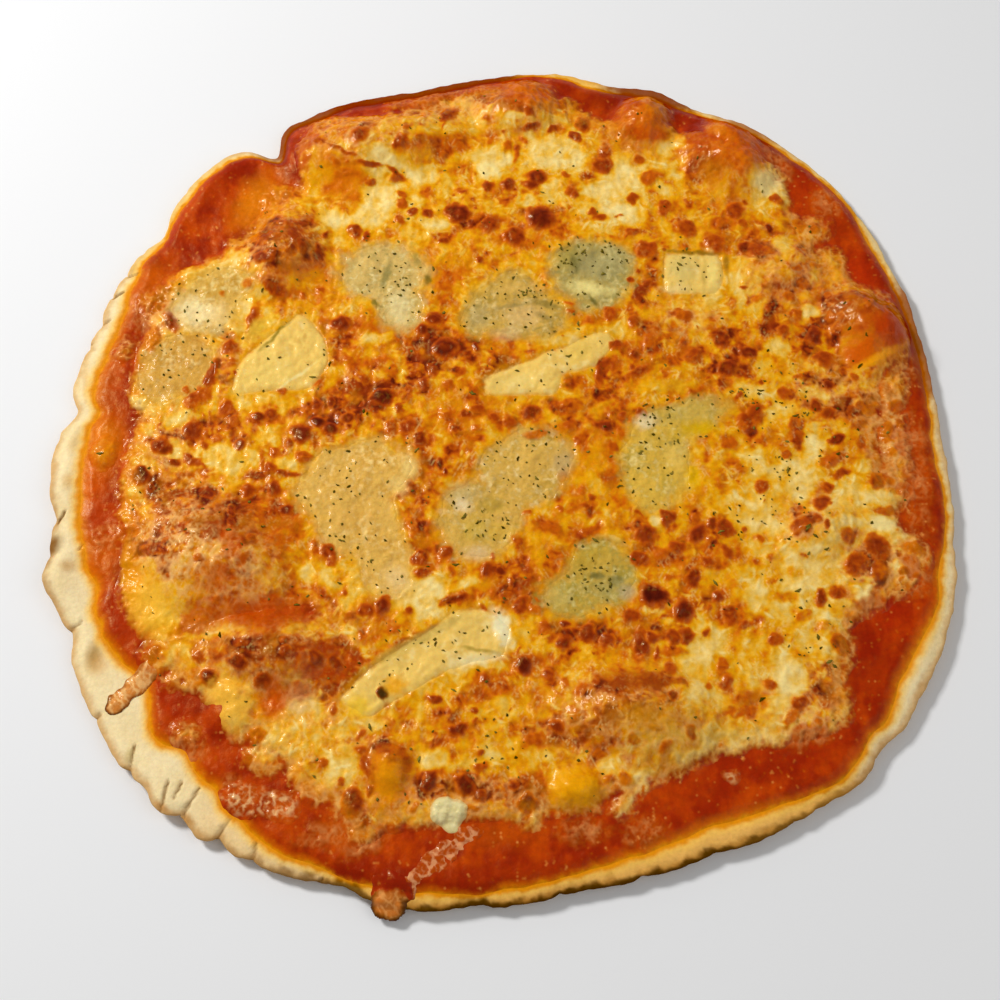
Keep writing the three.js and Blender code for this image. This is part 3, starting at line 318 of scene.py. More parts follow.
# Longer details: (x, y, half length, half width, turn, tone).
STROKES = (
    # Upper left.
    (-105, 86, 9, 3, 30, .5), (-118, 75, 5, 3, 20, .6), (-100, 72, 10, 8, 10, .2), (-95, 60, 6, 7, 0, .3),
    (-78, 84, 13, 9, -60, .72), (-80, 88, 9, 4, 15, .6), (-90, 85, 4, 3, 0, .74),
    (-78, 92, 7, 1.6, -10, .84), (-76, 84, 6, 2, -60, .8), (-68, 79, 4, 1.2, -70, .9),
    (-83, 64, 5.2, 2.5, -25, .84), (-78, 58, 10, 5, 0, .56), (-72, 66, 8, 6, 0, .56),
    (-90, 50, 7, 2.4, 85, .82), (-85, 47, 5, 3, 60, .36), (-70, 58, 6, 3, -40, .5),
    (-64, 44, 2.4, 14, 12, .6), (-104, 29, 6, 2.2, 75, .84), (-109, 19, 6, 3, 40, .78),
    (-101, 44, 5, 4, 0, .5), (-129, 38, 3, 6, 0, .4), (-127, 43, 3, 7, 10, .7),
    (-120, 50, 4.5, 1.8, 120, .86), (-118, 64, 2, 5, -10, .6), (-60, 110, 10, 9, 0, .68),
    (-62, 118, 6, 3, 0, .52), (-68, 113, 5, 4, 0, .45), (-60, 100, 8, 5, 0, .6), (-72, 107, 4, 7, 0, .42),
    (-69, 98, 5, 4, 0, .38), (-46, 121, 6, 5, 0, .1), (-45, 105, 7, 7, 0, .12), (-48, 97, 6, 7, 0, .15),
    (-62, 94, 5, 4, 0, .12), (-30, 113, 6, 4, 0, .12), (-33, 101, 4, 5, 0, .2), (-22, 92, 3, 3, 0, .12),
    (-25, 127, 9, 4.5, 0, .72), (-27, 121, 6, 3.5, 0, .68), (-48, 143, 6, 4, 0, .64),
    (-60, 124, 7, 1, -25, .8), (-50, 118, 5, 1.4, -8, .84), (-40, 114, 5, 1.2, -40, .84),
    (-18, 80, 14, 7, 0, .52), (-20, 63, 2.6, 8, 0, .72), (-45, 50, 8, 3, -3, .6), (-60, 38, 8, 4, 60, .68),
    (-45, 43, 8, 2.5, 10, .25), (-35, 28, 3, 3, 0, .22), (-18, 33, 3, 2, 30, .3),
    (-10, 93, 5.5, 2, 45, .68), (-50, 24, 10, 3, 10, .74), (-30, 38, 9, 3, -45, .76),
    (-66, 26, 3, 8, 20, .62), (-55, 40, 6, 5, 0, .66), (-12, 46, 5, 3, 0, .6),
    # Top and upper right.
    (8, 150, 12, 8, 0, .7), (-5, 149, 8, 3, 0, .84), (30, 155, 9, 2.2, -12, .36),
    (12, 135, 4, 1.6, 25, .86), (24, 143, 3, 1.2, -10, .1), (5, 140, 4, 2, 0, .1), (-12, 137, 8, 5, 0, .36),
    (-15, 127, 8, 3, 0, .66), (-12, 115, 3, 5, 0, .62), (6, 122, 1.2, 4, 0, .76), (-5, 116, 3, 5, 0, 0),
    (-1, 121, 6, 4, 0, .1), (20, 122, 8, 8, 0, .12), (28, 118, 8, 6, 0, .08), (10, 101, 4, 3, 0, .1),
    (-3, 99, 4, 3, 0, .4), (32, 112, 4, 3, 0, .55), (40, 123, 2, 4, 0, .76), (38, 95, 3, 1.6, 0, .8),
    (47, 112, 6, 5, 0, .08), (38, 106, 6, 4, 0, .05), (45, 103, 7, 4, 0, .15), (47, 96, 4, 4, 0, .1),
    (64, 127, 4, 7, 0, .25), (62, 107, 3, 3, 0, .15), (55, 138, 13, 10, 0, .73), (60, 145, 8, 3, 0, .66),
    (55, 150, 12, 1.4, -8, .88), (68, 142, 5, 1.4, -35, .9), (85, 137, 11, 3, -15, .78),
    (88, 124, 9, 13, -15, .69), (87, 120, 7, 3, 0, .62), (91, 108, 4, 9, 0, .68), (83, 112, 4, 8, 0, .52),
    (73, 110, 3, 9, 0, .6), (97, 98, 4, 8, 0, .42), (102, 110, 5, 5, 20, .1), (104, 128, 10, 1.4, -52, .92),
    (108, 95, 6, 5, 0, .52), (95, 80, 6, 3, 0, .8), (105, 83, 4, 3.5, 0, .2), (105, 70, 15, 9, 0, .54),
    (98, 50, 2.6, 8, -10, .82), (66, 52, 4, 2, 0, .74), (63, 48, 4, 3, 0, .1), (52, 63, 2.2, 6, -30, .86),
    (57, 70, 3, 9, 0, .6), (33, 52, 8, 3, 0, .62), (42, 40, 3, 2, 0, .8), (36, 29, 2, 6, -10, .82),
    (40, 33, 4, 1.6, -40, .78), (50, 30, 5.4, 1.8, 30, .82), (60, 40, 13, 9, 0, .62),
    (72, 42, 4, 3, 0, .45), (57, 25, 7, 6, 0, .4), (25, 16, 6, 2.4, 0, .7), (60, 90, 9, 4, 0, .6),
    (88, 65, 4, 6, -15, .28), (87, 66, .8, 7, -15, .12), (72, 57, 10, 2.6, 0, .42),
    (113, 54, 3.6, 3, 0, .06), (130, 58, 14, 4.6, 0, .72), (125, 49, 8, 5, 0, .67), (130, 39, 8, 5, 0, .62),
    (135, 39, 11, 4.5, 38, .6), (134.5, 34.5, 10, 1.3, 38, .36), (100, 39, 5, 4, 0, .15),
    (96, 34, 4, 3, 0, .42), (92, 22, 9, 4, 0, .25), (120, 17, 5, 2.4, 0, .6), (128, 25, 6, 3, 0, .35),
    (140, 24, 6, 3, 0, .6), (125, 77, 5, 4, 0, .5), (77, 60, 3, 5, 0, .36), (18, 42, 3, 3, 0, .36),
    (24, 43, 5, 2.4, 20, .22), (26, 25, 3.4, 4, -20, .62),
    # Left.
    (-133, 12.5, 3.8, 2.2, -10, .9), (-128, 12, 4, 2.4, -15, .66), (-115, -6, 3, 1.5, 10, .86),
    (-108, -5, 5, 1.5, -35, .8), (-84, -5, 1.5, 4, 0, .72), (-98, -6, 9, 3.6, 0, .12),
    (-100, -12, 7, 2.2, -15, .45), (-98, 12, 8, 5, 0, .6), (-93, 7, 4, 7, 0, .63),
    (-111, 11, 4, 1.8, 0, .05), (-103, -2, 4, 2, -20, .1), (-120, 15, 10, 5, 0, .2),
    (-131, 18, 5, 3, 0, .1), (-133, -3, 4, 8, 0, .45), (-127, -16, 4, 2.6, 0, .08), (-85, -3, 3, 5, 0, .2),
    (-75, -6, 4, 3.6, 0, .25), (-140, -2, 4, 6, 0, .62), (-78, 8, 5, 4, 0, .5), (-113, -14, 14, 4, 14, .6),
    # The dark strokes along the top of the bulge at (-98, -42), from (-112, -18) to (-85, -24), and down its
    # right side at (-75, -34), are partly browned and partly painted shade.
    (-112, -18, 12, 1.4, 10, .72), (-86, -11, 4, 1.2, 8, .86), (-75, -10, 5, 1.2, -8, .8),
    (-124, -22, 5, 3, 35, .55), (-110, -24, 12, 4, 18, .5), (-124, -28, 4, 7, -20, .42),
    (-112, -47, 8, 9, 30, .44), (-104, -37, 7, 4, -20, .32), (-120, -38, 4, 3, 0, .76),
    (-116, -44, 3, 6, 25, .62), (-97, -20, 9, 3, -12, .72), (-85, -24, 13, 5, -10, .72),
    (-90, -31, 11, 7, 0, .66), (-75, -34, 7, 13, 5, .66), (-90, -45, 12, 5, 0, .57),
    (-74, -47, 11, 5, 0, .56), (-119, -57, 4, 10, 12, .38), (-126, -48, 2.6, 13, 15, .52),
    (-115, -66, 4, 6, 0, .42), (-96, -67, 11, 3, 0, .3), (-74, -66, 15, 2.2, -5, .42),
    (-66, -57, 12, 6, 0, .64), (-58, -68, 9, 2.4, -10, .47), (-80, -74, 14, 4, 0, .7),
    (-60, -77, 13, 6, -15, .78), (-51, -80, 4.4, 10, 15, .78), (-60, -88, 8, 5, 0, .7),
    (-90, -91, 8, 9, 10, .42), (-91, -97, 4, 5, 0, .28), (-81, -96, 4, 5, 0, .46),
    (-78, -90, 3.4, 8, 20, .66), (-68, -86, 5, 4, 0, .3), (-66, -94, 6, 3, 10, .12),
    (-110, -78, 8, 5, 15, .28), (-95, -74, 5, 5, 0, .62),
    # Middle.
    (-46, 10, 4, 4, 0, .36), (-26, -11, 6, 8, 20, .66), (-35, -18, 2.4, 1.2, 20, .8),
    (-30, -3, 4, 4, 0, .5), (-31, -31, 3, 4.6, 10, .7), (-27, -47, 3, 1.8, 0, .75),
    (-27, -34, 5, 7, 15, .64), (-58, -42, 2, 3.4, 25, .8), (-15, -57, 5.4, 2, 15, .9),
    (-8, -59, 4, 1.6, 0, .5), (3, -50, 11, 8, 0, .7), (11, -37, 8, 5, 0, .56), (-20, -50, 5, 2.6, 0, .42),
    (-22, -25, 4, 4, 0, .34), (-25, -56, 4.6, 7, 0, .06), (-12, -51, 4.6, 2, 20, .2),
    (-54, -50, 9, 6, -40, .34), (-66, -47, 3, 3, 0, .14), (-50, -57, 5, 4, 0, .3), (12, 5, 5, 2, 0, .7),
    (30, 0, 8, 8, 0, .57), (33, -6, 8, 4, 0, .53), (28, -15, 11, 5, 0, .53), (36, 9, 3.4, 1.8, -10, .85),
    (31.5, -24, 1.1, 2.6, -15, .88), (20, -19, 1.5, 2, 0, .67), (42, -20, 2.6, 2, 0, .64),
    (17, -30, 4, 2, -20, .73), (30, -33, 4.4, 1.6, 40, .74), (18, -38, 9, 4, -10, .52),
    (18, -45, 6, 4.4, 0, .57), (47, -48, 6, 2.4, 0, .4), (60, -38, 15, 10, 0, .6), (82, -8, 4, 8, 0, .6),
    (77, -13, 4, 7, 0, .5), (68, -12, 2.6, 4, 0, .38), (86, -30, 6, 8, 0, .36), (88, -17, 8, 8, 0, .28),
    (87, -55, 5, 5, 0, .14), (75, -48, 5, 3, 0, .35), (53, -28, 2, 2, 0, .1), (64, -62, 1.6, 1.4, 0, .3),
    (68, -88, 7, 3, 0, .2), (58, -75, 5, 2, 0, .7), (47, -73, 3, 5, 0, .88), (40, -87, 9, 1.8, -5, .68),
    (55, -86, 8, 1.8, 4, .7), (-28, -70, 8, 1.6, 28, .88), (-20, -67, 5, 1, 35, .5),
    (-14, -81, 4, 2.4, 30, .06), (-4, -79, 6, 1.6, -6, .12), (2, -69, 2, 6, 15, 0),
    (-22, -87, 9, 4, 0, .38), (-35, -87, 4, 3.4, 0, .46), (-39, -90, 1.5, 2.4, 20, .96),
    (-31, -85, 1.4, 3, 0, .66), (-5, -88, 10, 5, 15, .66), (-28, -98, 7, 5, 0, .52),
    (0, -93, 5, 3, 20, .26), (-3, -98, 8, 4, 0, .4), (10, -90, 6, 5, 0, .55), (-45, -101, 6, 3, 10, .14),
    (-30, -108, 10, 2, 10, .5), (14, -94, 5, 3, 0, .62),
    # Right.
    (88, 9, 3, 4.4, 0, .76), (111, 0, 3, 5, 10, 0), (99, 4, 7, 5, 0, .55), (106, 3, 1.8, 4, 0, .72),
    (102, -11, 9, 6, 0, .22), (105, -17, 4, 4, 0, .12), (117, -5, 4.4, 2.8, 20, .74),
    (120, -11, 3.2, 1.3, 25, .82), (137, -13, 2, 2, 0, .68), (128, -7, 3.4, 3, 0, .14),
    (130, -20, 8, 3, 0, .15), (134, -24, 4.6, 1.5, -5, .78), (104, -30, 5.4, 2.6, 35, .78),
    (130, -46, 3, 4.6, 0, .74), (142, -37, 5, 2, 0, .74), (118, -29, 8, 2.8, 0, .1),
    (133, -29, 4, 3, 0, .14), (135, -45, 1.5, 6, 0, .14), (98, -31, 4, 5, 0, .3), (108, -42, 8, 6, 0, .16),
    (101, -51, 6, 4, 0, .2), (97, -56, 6, 1.8, 0, .6), (125, -56, 3, 5, 0, .1), (102, -60, 6, 3, 0, .2),
    (126, 3, 5, 3, 20, .5), (128, 14, 10, 7, 0, .6), (84, -75, 6, 3, 0, .42), (97, -85, 5, 5, 0, 0),
    (110, -85, 5, 8, 0, .6), (83, -92, 6, 3.4, 0, .7), (104, -100, 7, 2.4, 20, .5), (118, -84, 3, 5, 0, .4),
    # Front.
    (-87, -72, 3.4, 1.4, 0, .8), (-72, -105, 8, 8, 0, .32), (-67, -112, 5, 4, 0, .36),
    (-68, -120, 8, 3.6, 5, .54), (-52, -114, 5, 7, 0, .18), (-78, -114, 8, 2, 5, .6),
    (-62, -99, 6, 3, 0, .3), (-37, -117, 6, 8, 0, .53), (-36, -109, 6, 2.4, -15, .76),
    (-43, -114, 1.8, 5, 20, .78), (-27, -128, 5, 4, 0, .4), (25, -120.5, 6.6, 6, 0, .4),
    (23, -115, 3.4, 1.6, 10, .3), (30, -112, 2, 4, 0, .56), (29, -129, 6, 2.4, 10, .64),
    (-22, -112, 5, 3.4, 20, .12), (9, -113, 4, 3, -20, .12), (18, -118, 3.6, 5, 0, .24),
    (17, -110, 4, 2.6, 0, .2), (-9, -128, 3, 1.2, 0, .72), (46, -122, 6.6, 2.4, 50, .1),
    (39, -130, 3, 1.8, 45, .1), (37, -123, 1.7, 2.6, 0, .67), (0, -114, 5, 3, 0, .3),
    (48, -97, 17, 6, 0, .63), (35, -103, 10, 5, 10, .55), (62, -98, 9, 4, -8, .58), (46, -110, 8, 4, 0, .5),
    (56, -114, 3, 2.8, 0, .5), (68, -108, 8, 2.4, 15, .5), (-48, -133, 6, 2, 0, .6),
    (-2, -133, 6, 2.4, 0, .56),
)
# Where the sauce reddens the blanket: (x, y, half length, half width, turn).
RED_STROKES = (
    (-115, 92, 8, 6, 20), (-79, -61, 12, 4, 0), (-103, -64, 6, 6, 40), (-96, -48, 4, 4, 0),
    (-93, -36, 4, 6, 20), (-75, -89, 7, 2.6, 115), (-77, 122, 6, 6, 0), (-75, 133, 6, 3, -50),
    (-66, 141, 3, 2, 0), (-34, 150, 17, 2.4, 11), (-30, 147, 8, 2.4, 11), (35, 151, 8, 4, -10),
    (45, 148, 6, 4, -15), (57, 132, 7, 3, 0), (72, 139, 4, 3, 0), (75, 130, 3, 6, 0), (96, 125, 3, 8, 30),
    (118, 104, 9, 7, -40), (125, 93, 4, 4, 0), (132, 85, 8, 6, -45), (135, 69, 8, 3, -20),
    (143, 47, 5, 7, 10), (151, 25, 2.4, 6, 0), (143, 4, 5, 7, 0), (144, -14, 5, 8, 0), (146, -28, 4, 4, 0),
    (141, -44, 4, 5, 20), (129, -59, 7, 4, 0), (78, -96, 5, 2, 0), (-92, -104, 4, 7, 20),
    (-80, -120, 12, 2, -10), (-103, -108, 5, 5, 0), (-34, -135, 8, 3, 0), (102, -103, 8, 4, 20),
)

# Pieces of softer cheese. A slice has convex parts, given by their corners. A pool has ovals that run
# together, each (x, y, half length, half width, turn), then its colours: main, darker and paler.
SLICES = (
    ("brie_slice_left", (((-73, 54), (-64, 44), (-62, 33), (-68, 23), (-96, 21), (-95, 33)),)),
    ("brie_slice_middle", (((-6, 20), (-6, 27), (20, 38), (22, 29), (20, 21)),
                           ((18, 36), (31, 44), (38, 46), (42, 42), (35, 32), (22, 29)))),
    ("brie_slice_right", (((60.5, 62), (61.5, 78.5), (82, 77.5), (83, 70), (80, 62)),)),
    ("brie_slice_front", (((-53, -92), (-46, -83), (-14, -61), (-6, -74), (-44, -98)),
                          ((-16, -62), (-14, -61), (-4, -60), (3, -67), (1, -76), (-14, -79)))),
)
POOLS = (
    ("goat_cheese_left", ((-109, 57, 12, 12, 0), (-101, 65, 9, 7, 30)), "D0A856", "BE8E34", "EAD492"),
    ("goat_cheese_far_left", ((-117, 32, 13, 12, 0), (-122, 24, 7, 7, 0)), "CE9E4C", "B88430", "E4C484"),
    ("goat_cheese_inner", ((-52, -12, 20, 13, 20), (-50, -27, 14, 13, 0), (-40, -42, 15, 8.5, -68)),
     "DAB05C", "CC9A42", "EACA86"),
    ("goat_cheese_centre", ((9, -8, 17, 14, 40), (-8, -28, 14, 13, 50)), "D4AC58", "B8943E", "E6CC92"),
    ("blue_cheese_upper", ((-44, 71, 16, 11, 0), (-37, 58, 12, 8, 105)), "D2B470", "B49A56", "E6D6A0"),
    ("blue_cheese_top", ((34, 72, 15, 12, 0), (35, 62, 9, 6, 0)), "B29C58", "948C58", "D6C68A"),
    ("blue_cheese_middle", ((8, 54, 16, 10, -12), (-5, 52, 9, 7, 0), (4, 64, 8, 7, 0)),
     "C8A24E", "A08640", "DEC282"),
    ("blue_cheese_right", ((55, -6, 17, 12, 80), (66, 11, 14, 6, 15)), "D6B04C", "B4983C", "E4CC84"),
    ("blue_cheese_low", ((35, -46, 11, 11, 0), (25, -56, 11, 7, 10)), "C0A048", "968A40", "D8C684"),
)
# Tinted patches on the blanket and the softer cheeses: (x, y, half length, half width, turn, colour, share).
PATCHES = (
    (89, 128, 9, 9, 0, "D4620A", .5), (82, 114, 6, 6, 0, "E08A1C", .45), (55, 139, 9, 8, 0, "D6660A", .45),
    (60, 131, 5, 4, 0, "CA5608", .5), (10, 150, 9, 6, 0, "D06006", .5), (96, 120, 5, 6, 30, "D8680E", .5),
    (130, 57, 8, 6, 0, "B85404", .5), (143, 46, 4, 7, 0, "BC3602", .65), (131, 38, 6, 4, 30, "D05A04", .5),
    (46, -85, 14, 3.5, 0, "9A4404", .6), (52, -99, 11, 6, 0, "D6992E", .45),
    (-80, -62, 14, 3.5, 5, "AC3A04", .5), (-101, -49, 6, 6, 0, "D87A24", .4),
    (-84, 88, 6, 6, 0, "B85C0A", .4), (-78, 75, 5, 5, 0, "C46C08", .45), (-67, 122, 5, 6, 0, "D8780C", .4),
    (-90, -93, 6.5, 8.5, 12, "EBBE55", .85), (-75, -92, 5, 7, 0, "CC5410", .6),
    (-37, -118, 5, 8, 0, "E2940F", .7), (-67, -92, 5, 6, 0, "D8A070", .4),
    (-118, -60, 7, 10, 15, "E8BC3C", .5), (24, -121, 7, 6, 0, "F0AE14", .6),
    (-112, 54, 8, 6, -20, "F6EAC0", .6), (-103, 46, 3, 2, 0, "A8946C", .6),
    (-103, 53, 4, 6, 0, "EED49C", .5), (52, 10, 4, 3, 30, "E8DCBC", .75), (72, 8, 6, 3, 0, "D2A80E", .75),
    (67.5, -11, 2.6, 4, 0, "E0B010", .85), (62, -3, 4, 5, 0, "D8BC68", .5),
    (66, 14, 14, 4, 10, "BCA458", .5), (-8, -31, 6, 5, 0, "B09630", .5), (-13, -18, 6, 4, 0, "B4A478", .6),
    (-13, -22, 3.4, 2.6, -40, "ECDAB8", .7), (-8, -40, 5, 3, 0, "DEC098", .6),
    (-3, -22, 5, 3, 0, "A48C34", .5), (22, -6, 4, 5, 0, "B8A078", .6), (-36, -49, 4, 5, 15, "E8CC98", .6),
    (-52, -26, 8, 4, 0, "D0A050", .4), (-32, -8, 3, 5, 10, "E8CC84", .7), (-35, -15, 3, 4, 0, "ECCE84", .6),
    (33, -48, 3.2, 1.3, -10, "5C5C34", .8), (40, -50, 2.6, 2, 20, "64643C", .8),
    (43, -54, 3, 3, 0, "B0A894", .6), (36, -53, 5, 4, 0, "A89C62", .6), (20, -56, 4, 4, 30, "C2AE66", .6),
    (30, -41, 8, 3, 20, "C0A03C", .5), (-42, 70, 1.6, 6, -12, "7C7848", .7),
    (-46, 58, 1.2, 2, 20, "66662E", .8), (-47, 77, 3, 1.6, -40, "80804E", .6),
    (-31, 76, 3.4, 1.6, -60, "8C8650", .6), (-27, 68, 1.2, 2.2, 0, "5E5A26", .8),
    (-37, 56, 4, 7, 10, "E8DCAC", .6), (8, 53, 8, 5.4, 0, "E2C088", .55), (-8, 52, 4, 5, 0, "B6A474", .6),
    (17, 57, 6, 1.2, -15, "6E6638", .6), (5, 57, 6, 1, 10, "7C7040", .5),
    (16, 52, 3, 1.6, -20, "7A6A3C", .6), (2, 45, 5, 3, 0, "DCC08E", .5), (35, 74, 9, 6, 0, "9C9870", .65),
    (25, 77, 4, 6, 0, "A0924C", .6), (28, 75, 1.8, 4, 0, "6C6A3C", .6), (33, 64, 9, 3, -10, "ECE09A", .75),
    (44, 76, 4, 6, 0, "A8A070", .5), (34, 59, 2.4, .9, -50, "5C5A28", .8),
    # The thin dark line at (-82, 44), along the upper left edge of the left brie slice, is painted shadow.
    (-82, 44, 8.4, .8, 50, "7E6E14", .85), (-88, 47, 8, 3, 52, "E2C048", .7),
    (-74, 27, 8, .6, 38, "F8E8AC", .7), (-82, 30, 9, 6, 20, "E6CC78", .5),
    (78.4, 70, 2.3, 9, 0, "F4D884", .85), (75.4, 70, .8, 8, -3, "BEA454", .6),
    (67, 72, 6, 6, 0, "D0C07C", .6), (72, 79, 10, .8, -3, "86641C", .8), (84, 74, 1, 4, 0, "8E6828", .7),
    (64, 63.5, 5, 1.6, 0, "E8D092", .6), (-28, -71, 21, 1.8, 30, "A89450", .6),
    (-47, -94, 4, 4, 0, "F4C83A", .8), (-35, -87, 4.2, 3.6, 0, "E2A01C", .9),
    (-39, -90, 1.5, 2.4, 15, "3A2808", .97), (-37.5, -94, 1, 1.6, 0, "C06A1C", .8),
    (-6, -75, 7, .7, -8, "9A8434", .7), (-11, -67, 5, 3, 20, "DCBC68", .5),
    (1, -67, 2, 6, 15, "EFE2B4", .7), (8, 26, 8, 3, 10, "EED88C", .5), (28, 38, 6, 4, 25, "D8B858", .5),
    (-8, -78, 9, 1.8, 8, "F4E4B4", .8), (0, -66, 3, 6, 15, "F6ECCC", .8), (141, 48, 6, 7, 20, "B23A04", .8),
    (132, 38.5, 9, 4.5, 35, "CE5A06", .8), (137, 36, 10, 1.5, 28, "F0A020", .8),
    (-80, -62, 12, 5, 0, "B0440A", .6), (-91, -92, 6, 9, 10, "E8AE3C", .7),
    (25, -121, 7, 6, 0, "E8A218", .75), (48, -99, 18, 8, 0, "C4881F", .35),
    (-120, -58, 6, 11, 12, "EEB440", .65), (-127, -47, 3, 12, 15, "E89C1C", .7),
    (-60, 112, 8, 9, 0, "DC7C08", .4), (68, 7, 8, 3, 20, "C8A00C", .5), (62, 24, 6, 3, 0, "D8AC30", .5),
    (6, 64, 8, 2.6, 0, "DCB668", .6), (0, -32, 6, 3, 0, "E2B84C", .5), (-48, 76, 6, 3, 20, "E0BE74", .5),
)
# Where the blanket reaches further out: (x, y, half length, half width, turn).
REACHES = (
    (8, 149, 16, 9, 0), (55, 140, 14, 11, 0), (88, 129, 15, 11, -45), (139, 46, 11, 20, 8),
    (139, -2, 8, 30, 0), (140, -42, 10, 11, 0), (-140, -2, 6, 8, 0), (-136, 38, 5, 6, 0),
    (-103, -105, 7, 9, 15), (-30, 145, 25, 6, 12), (104, -101, 9, 5, 20), (-121, -55, 11, 15, 12),
    (-113, -76, 10, 9, 0), (-77, -112, 10, 8, -20), (62, -107, 15, 10, 12), (-128, 58, 6, 8, 0),
    (-108, -84, 8, 6, 20), (10, -131, 8, 5, 0), (40, -126, 8, 6, 40), (122, 75, 8, 10, 0),
    (117, 89, 11, 8, 0), (140, 22, 8, 12, 0), (112, -92, 7, 12, 0),
)
# Thin threads of cheese lie on the sauce here: (x, y, half length, half width, turn).
THREADS = (
    (27, -135, 7, 4, 0), (45, -135, 7, 4, 0), (-58, -137, 8, 4, 0), (-42, -138, 9, 3, 35),
    (-88, -123, 6, 5, 0), (123, 100, 5, 6, 0), (144, -10, 6, 22, 0), (142, 5, 7, 8, 0),
    (141, -50, 8, 5, 20), (103, -102, 10, 5, 20), (-128, 53, 6, 7, 0), (-136, 40, 5, 6, 0),
    (-30, 150, 12, 4, 10), (-10, 150, 8, 5, 0), (-68, 134, 9, 4, -40), (147, 30, 4, 6, 0),
    (104, 117, 6, 8, 30), (-66, -93, 7, 4, 0), (-104, -108, 6, 7, 0), (-138, -34, 6, 4, 20),
)
# Small bits on the sauce, with ovals that run together.
BITS = (
    ("mozzarella_bit", ((-16.5, -129, 5.4, 4.4, 0), (-16, -132.5, 3, 3.4, 0))),
    ("cheese_bit_left", ((-84, -125, 8, 6, -15), (-72, -126.5, 9, 6, -12))),
    ("cheese_bit_right", ((76, -117, 3.6, 2.6, 10),)),
)


# ---------------------------------------------------------------- numbers, noise and colour

def step(low, high, value):
    """Runs smoothly from 0 at low to 1 at high, where high may also be the lower of the two."""
    t = np.clip((value - low) / (high - low), 0, 1)
    return t * t * (3 - 2 * t)


NOISE_CELLS = 256
NOISE_SHIFT = (61.3, 17.9)  # so that no cell's corner lies in the middle
_angles = {}


def noise(x, y, size, seed):
    """Gradient noise, from about -1 to 1, with features of the given size in mm."""
    if seed not in _angles:
        _angles[seed] = np.random.default_rng(seed).uniform(0, 2 * np.pi, (NOISE_CELLS, NOISE_CELLS))
    angles = _angles[seed]
    u = np.asarray(x) / size + NOISE_SHIFT[0]
    v = np.asarray(y) / size + NOISE_SHIFT[1]
    i = np.floor(u).astype(int)
    j = np.floor(v).astype(int)
    f = u - i
    g = v - j

    def corner(di, dj):
        a = angles[(i + di) % NOISE_CELLS, (j + dj) % NOISE_CELLS]
        return np.cos(a) * (f - di) + np.sin(a) * (g - dj)

    s = f ** 3 * (f * (f * 6 - 15) + 10)
    t = g ** 3 * (g * (g * 6 - 15) + 10)
    low = corner(0, 0) * (1 - s) + corner(1, 0) * s
    high = corner(0, 1) * (1 - s) + corner(1, 1) * s
    return 1.5 * (low * (1 - t) + high * t)


def clouds(x, y, size, seed, octaves=3):
    """Noise with finer noise on it."""
    total = 0
    for k in range(octaves):
        total = total + noise(x, y, size / 2 ** k, seed + k) / 2 ** k
    return total / 1.4


def rgb(hex_code):
    """A linear colour from its usual code."""
    c = np.array([int(hex_code[i:i + 2], 16) for i in (0, 2, 4)]) / 255
    return np.where(c <= .04045, c / 12.92, ((c + .055) / 1.055) ** 2.4)


def mix(a, b, t):
    """Blends colours or rows of colours, with a share for each row."""
    t = np.clip(np.asarray(t, float), 0, 1)[..., None]
    return a * (1 - t) + b * t


# ---------------------------------------------------------------- outlines and heights

def bearing_of(x, y):
    return np.degrees(np.arctan2(y, x)) % 360


def turned(bearing, at):
    """The angle from one bearing to another, -180 to 180."""
    return (bearing - at + 540) % 360 - 180


def bell(bearing, at, wide):
    """1 at a bearing, falling to 0 on both sides of it."""
    return np.exp(-(turned(bearing, at) / wide) ** 2)


def swollen(bearing, swells):
    return sum(out * bell(bearing, at, wide) for at, wide, out in swells)


def ragged(bearing, size, seed):
    """Noise along an outline, the same at 0 and 360 degrees."""
    a = np.radians(bearing)
    return noise(CRUST_RADIUS * np.cos(a), CRUST_RADIUS * np.sin(a), size, seed)


def crust_radius(bearing):
    """The dough's outline, with small lobes and notches."""
    lobes = 0.9 * ragged(bearing, 13, 3) + 0.45 * ragged(bearing, 5, 4)
    lobes = lobes * step(-1.2, .6, ragged(bearing, 60, 5))
    for at, wide, depth in NOTCHES:
        lobes = lobes - depth * np.exp(-np.abs(turned(bearing, at)) / wide)
    return CRUST_RADIUS + swollen(bearing, CRUST_SWELLS) + swollen(bearing, EDGE_SWELLS) + lobes


def solid_sauce_radius(bearing):
    """The outline of the sauce's CAD solid."""
    return CRUST_RADIUS + swollen(bearing, CRUST_SWELLS) - SAUCE_RIM - swollen(bearing, RIM_WIDTH_SWELLS)


def sauce_radius(bearing):
    even = solid_sauce_radius(bearing) - SAUCE_SHORT + swollen(bearing, SAUCE_SWELLS)
    return even + 0.8 * ragged(bearing, 9, 6)


def cheese_radius(bearing):
    """The blanket's rough outline, close to that of its CAD solid."""
    margin = CHEESE_MARGIN + swollen(bearing, CHEESE_MARGIN_SWELLS)
    return solid_sauce_radius(bearing) - np.maximum(LEAST_MARGIN, margin)


def inside(outline, x, y):
    """How far a point lies inside an outline, along its bearing."""
    return outline(bearing_of(x, y)) - np.hypot(x, y)


def underside(x, y):
    """The dough's underside, which lifts a little towards the edge."""
    bearing = bearing_of(x, y)
    r = np.hypot(x, y)
    edge = crust_radius(bearing)
    curl = sum(up * bell(bearing, at, wide) for at, wide, up in RIM_CURLS)
    lift = RIM_LIFT * step(0, 1, (r - FLAT_RADIUS) / (edge - FLAT_RADIUS)) ** 2
    return lift + curl * step(0, CURL_WIDTH, r - edge + CURL_WIDTH)


def oval_distance(x, y, cx, cy, half_long, half_wide, turn):
    """The distance from an oval's middle, where 1 is its edge."""
    c = math.cos(math.radians(turn))
    s = math.sin(math.radians(turn))
    dx = x - cx
    dy = y - cy
    return np.hypot((dx * c + dy * s) / half_long, (dy * c - dx * s) / half_wide)


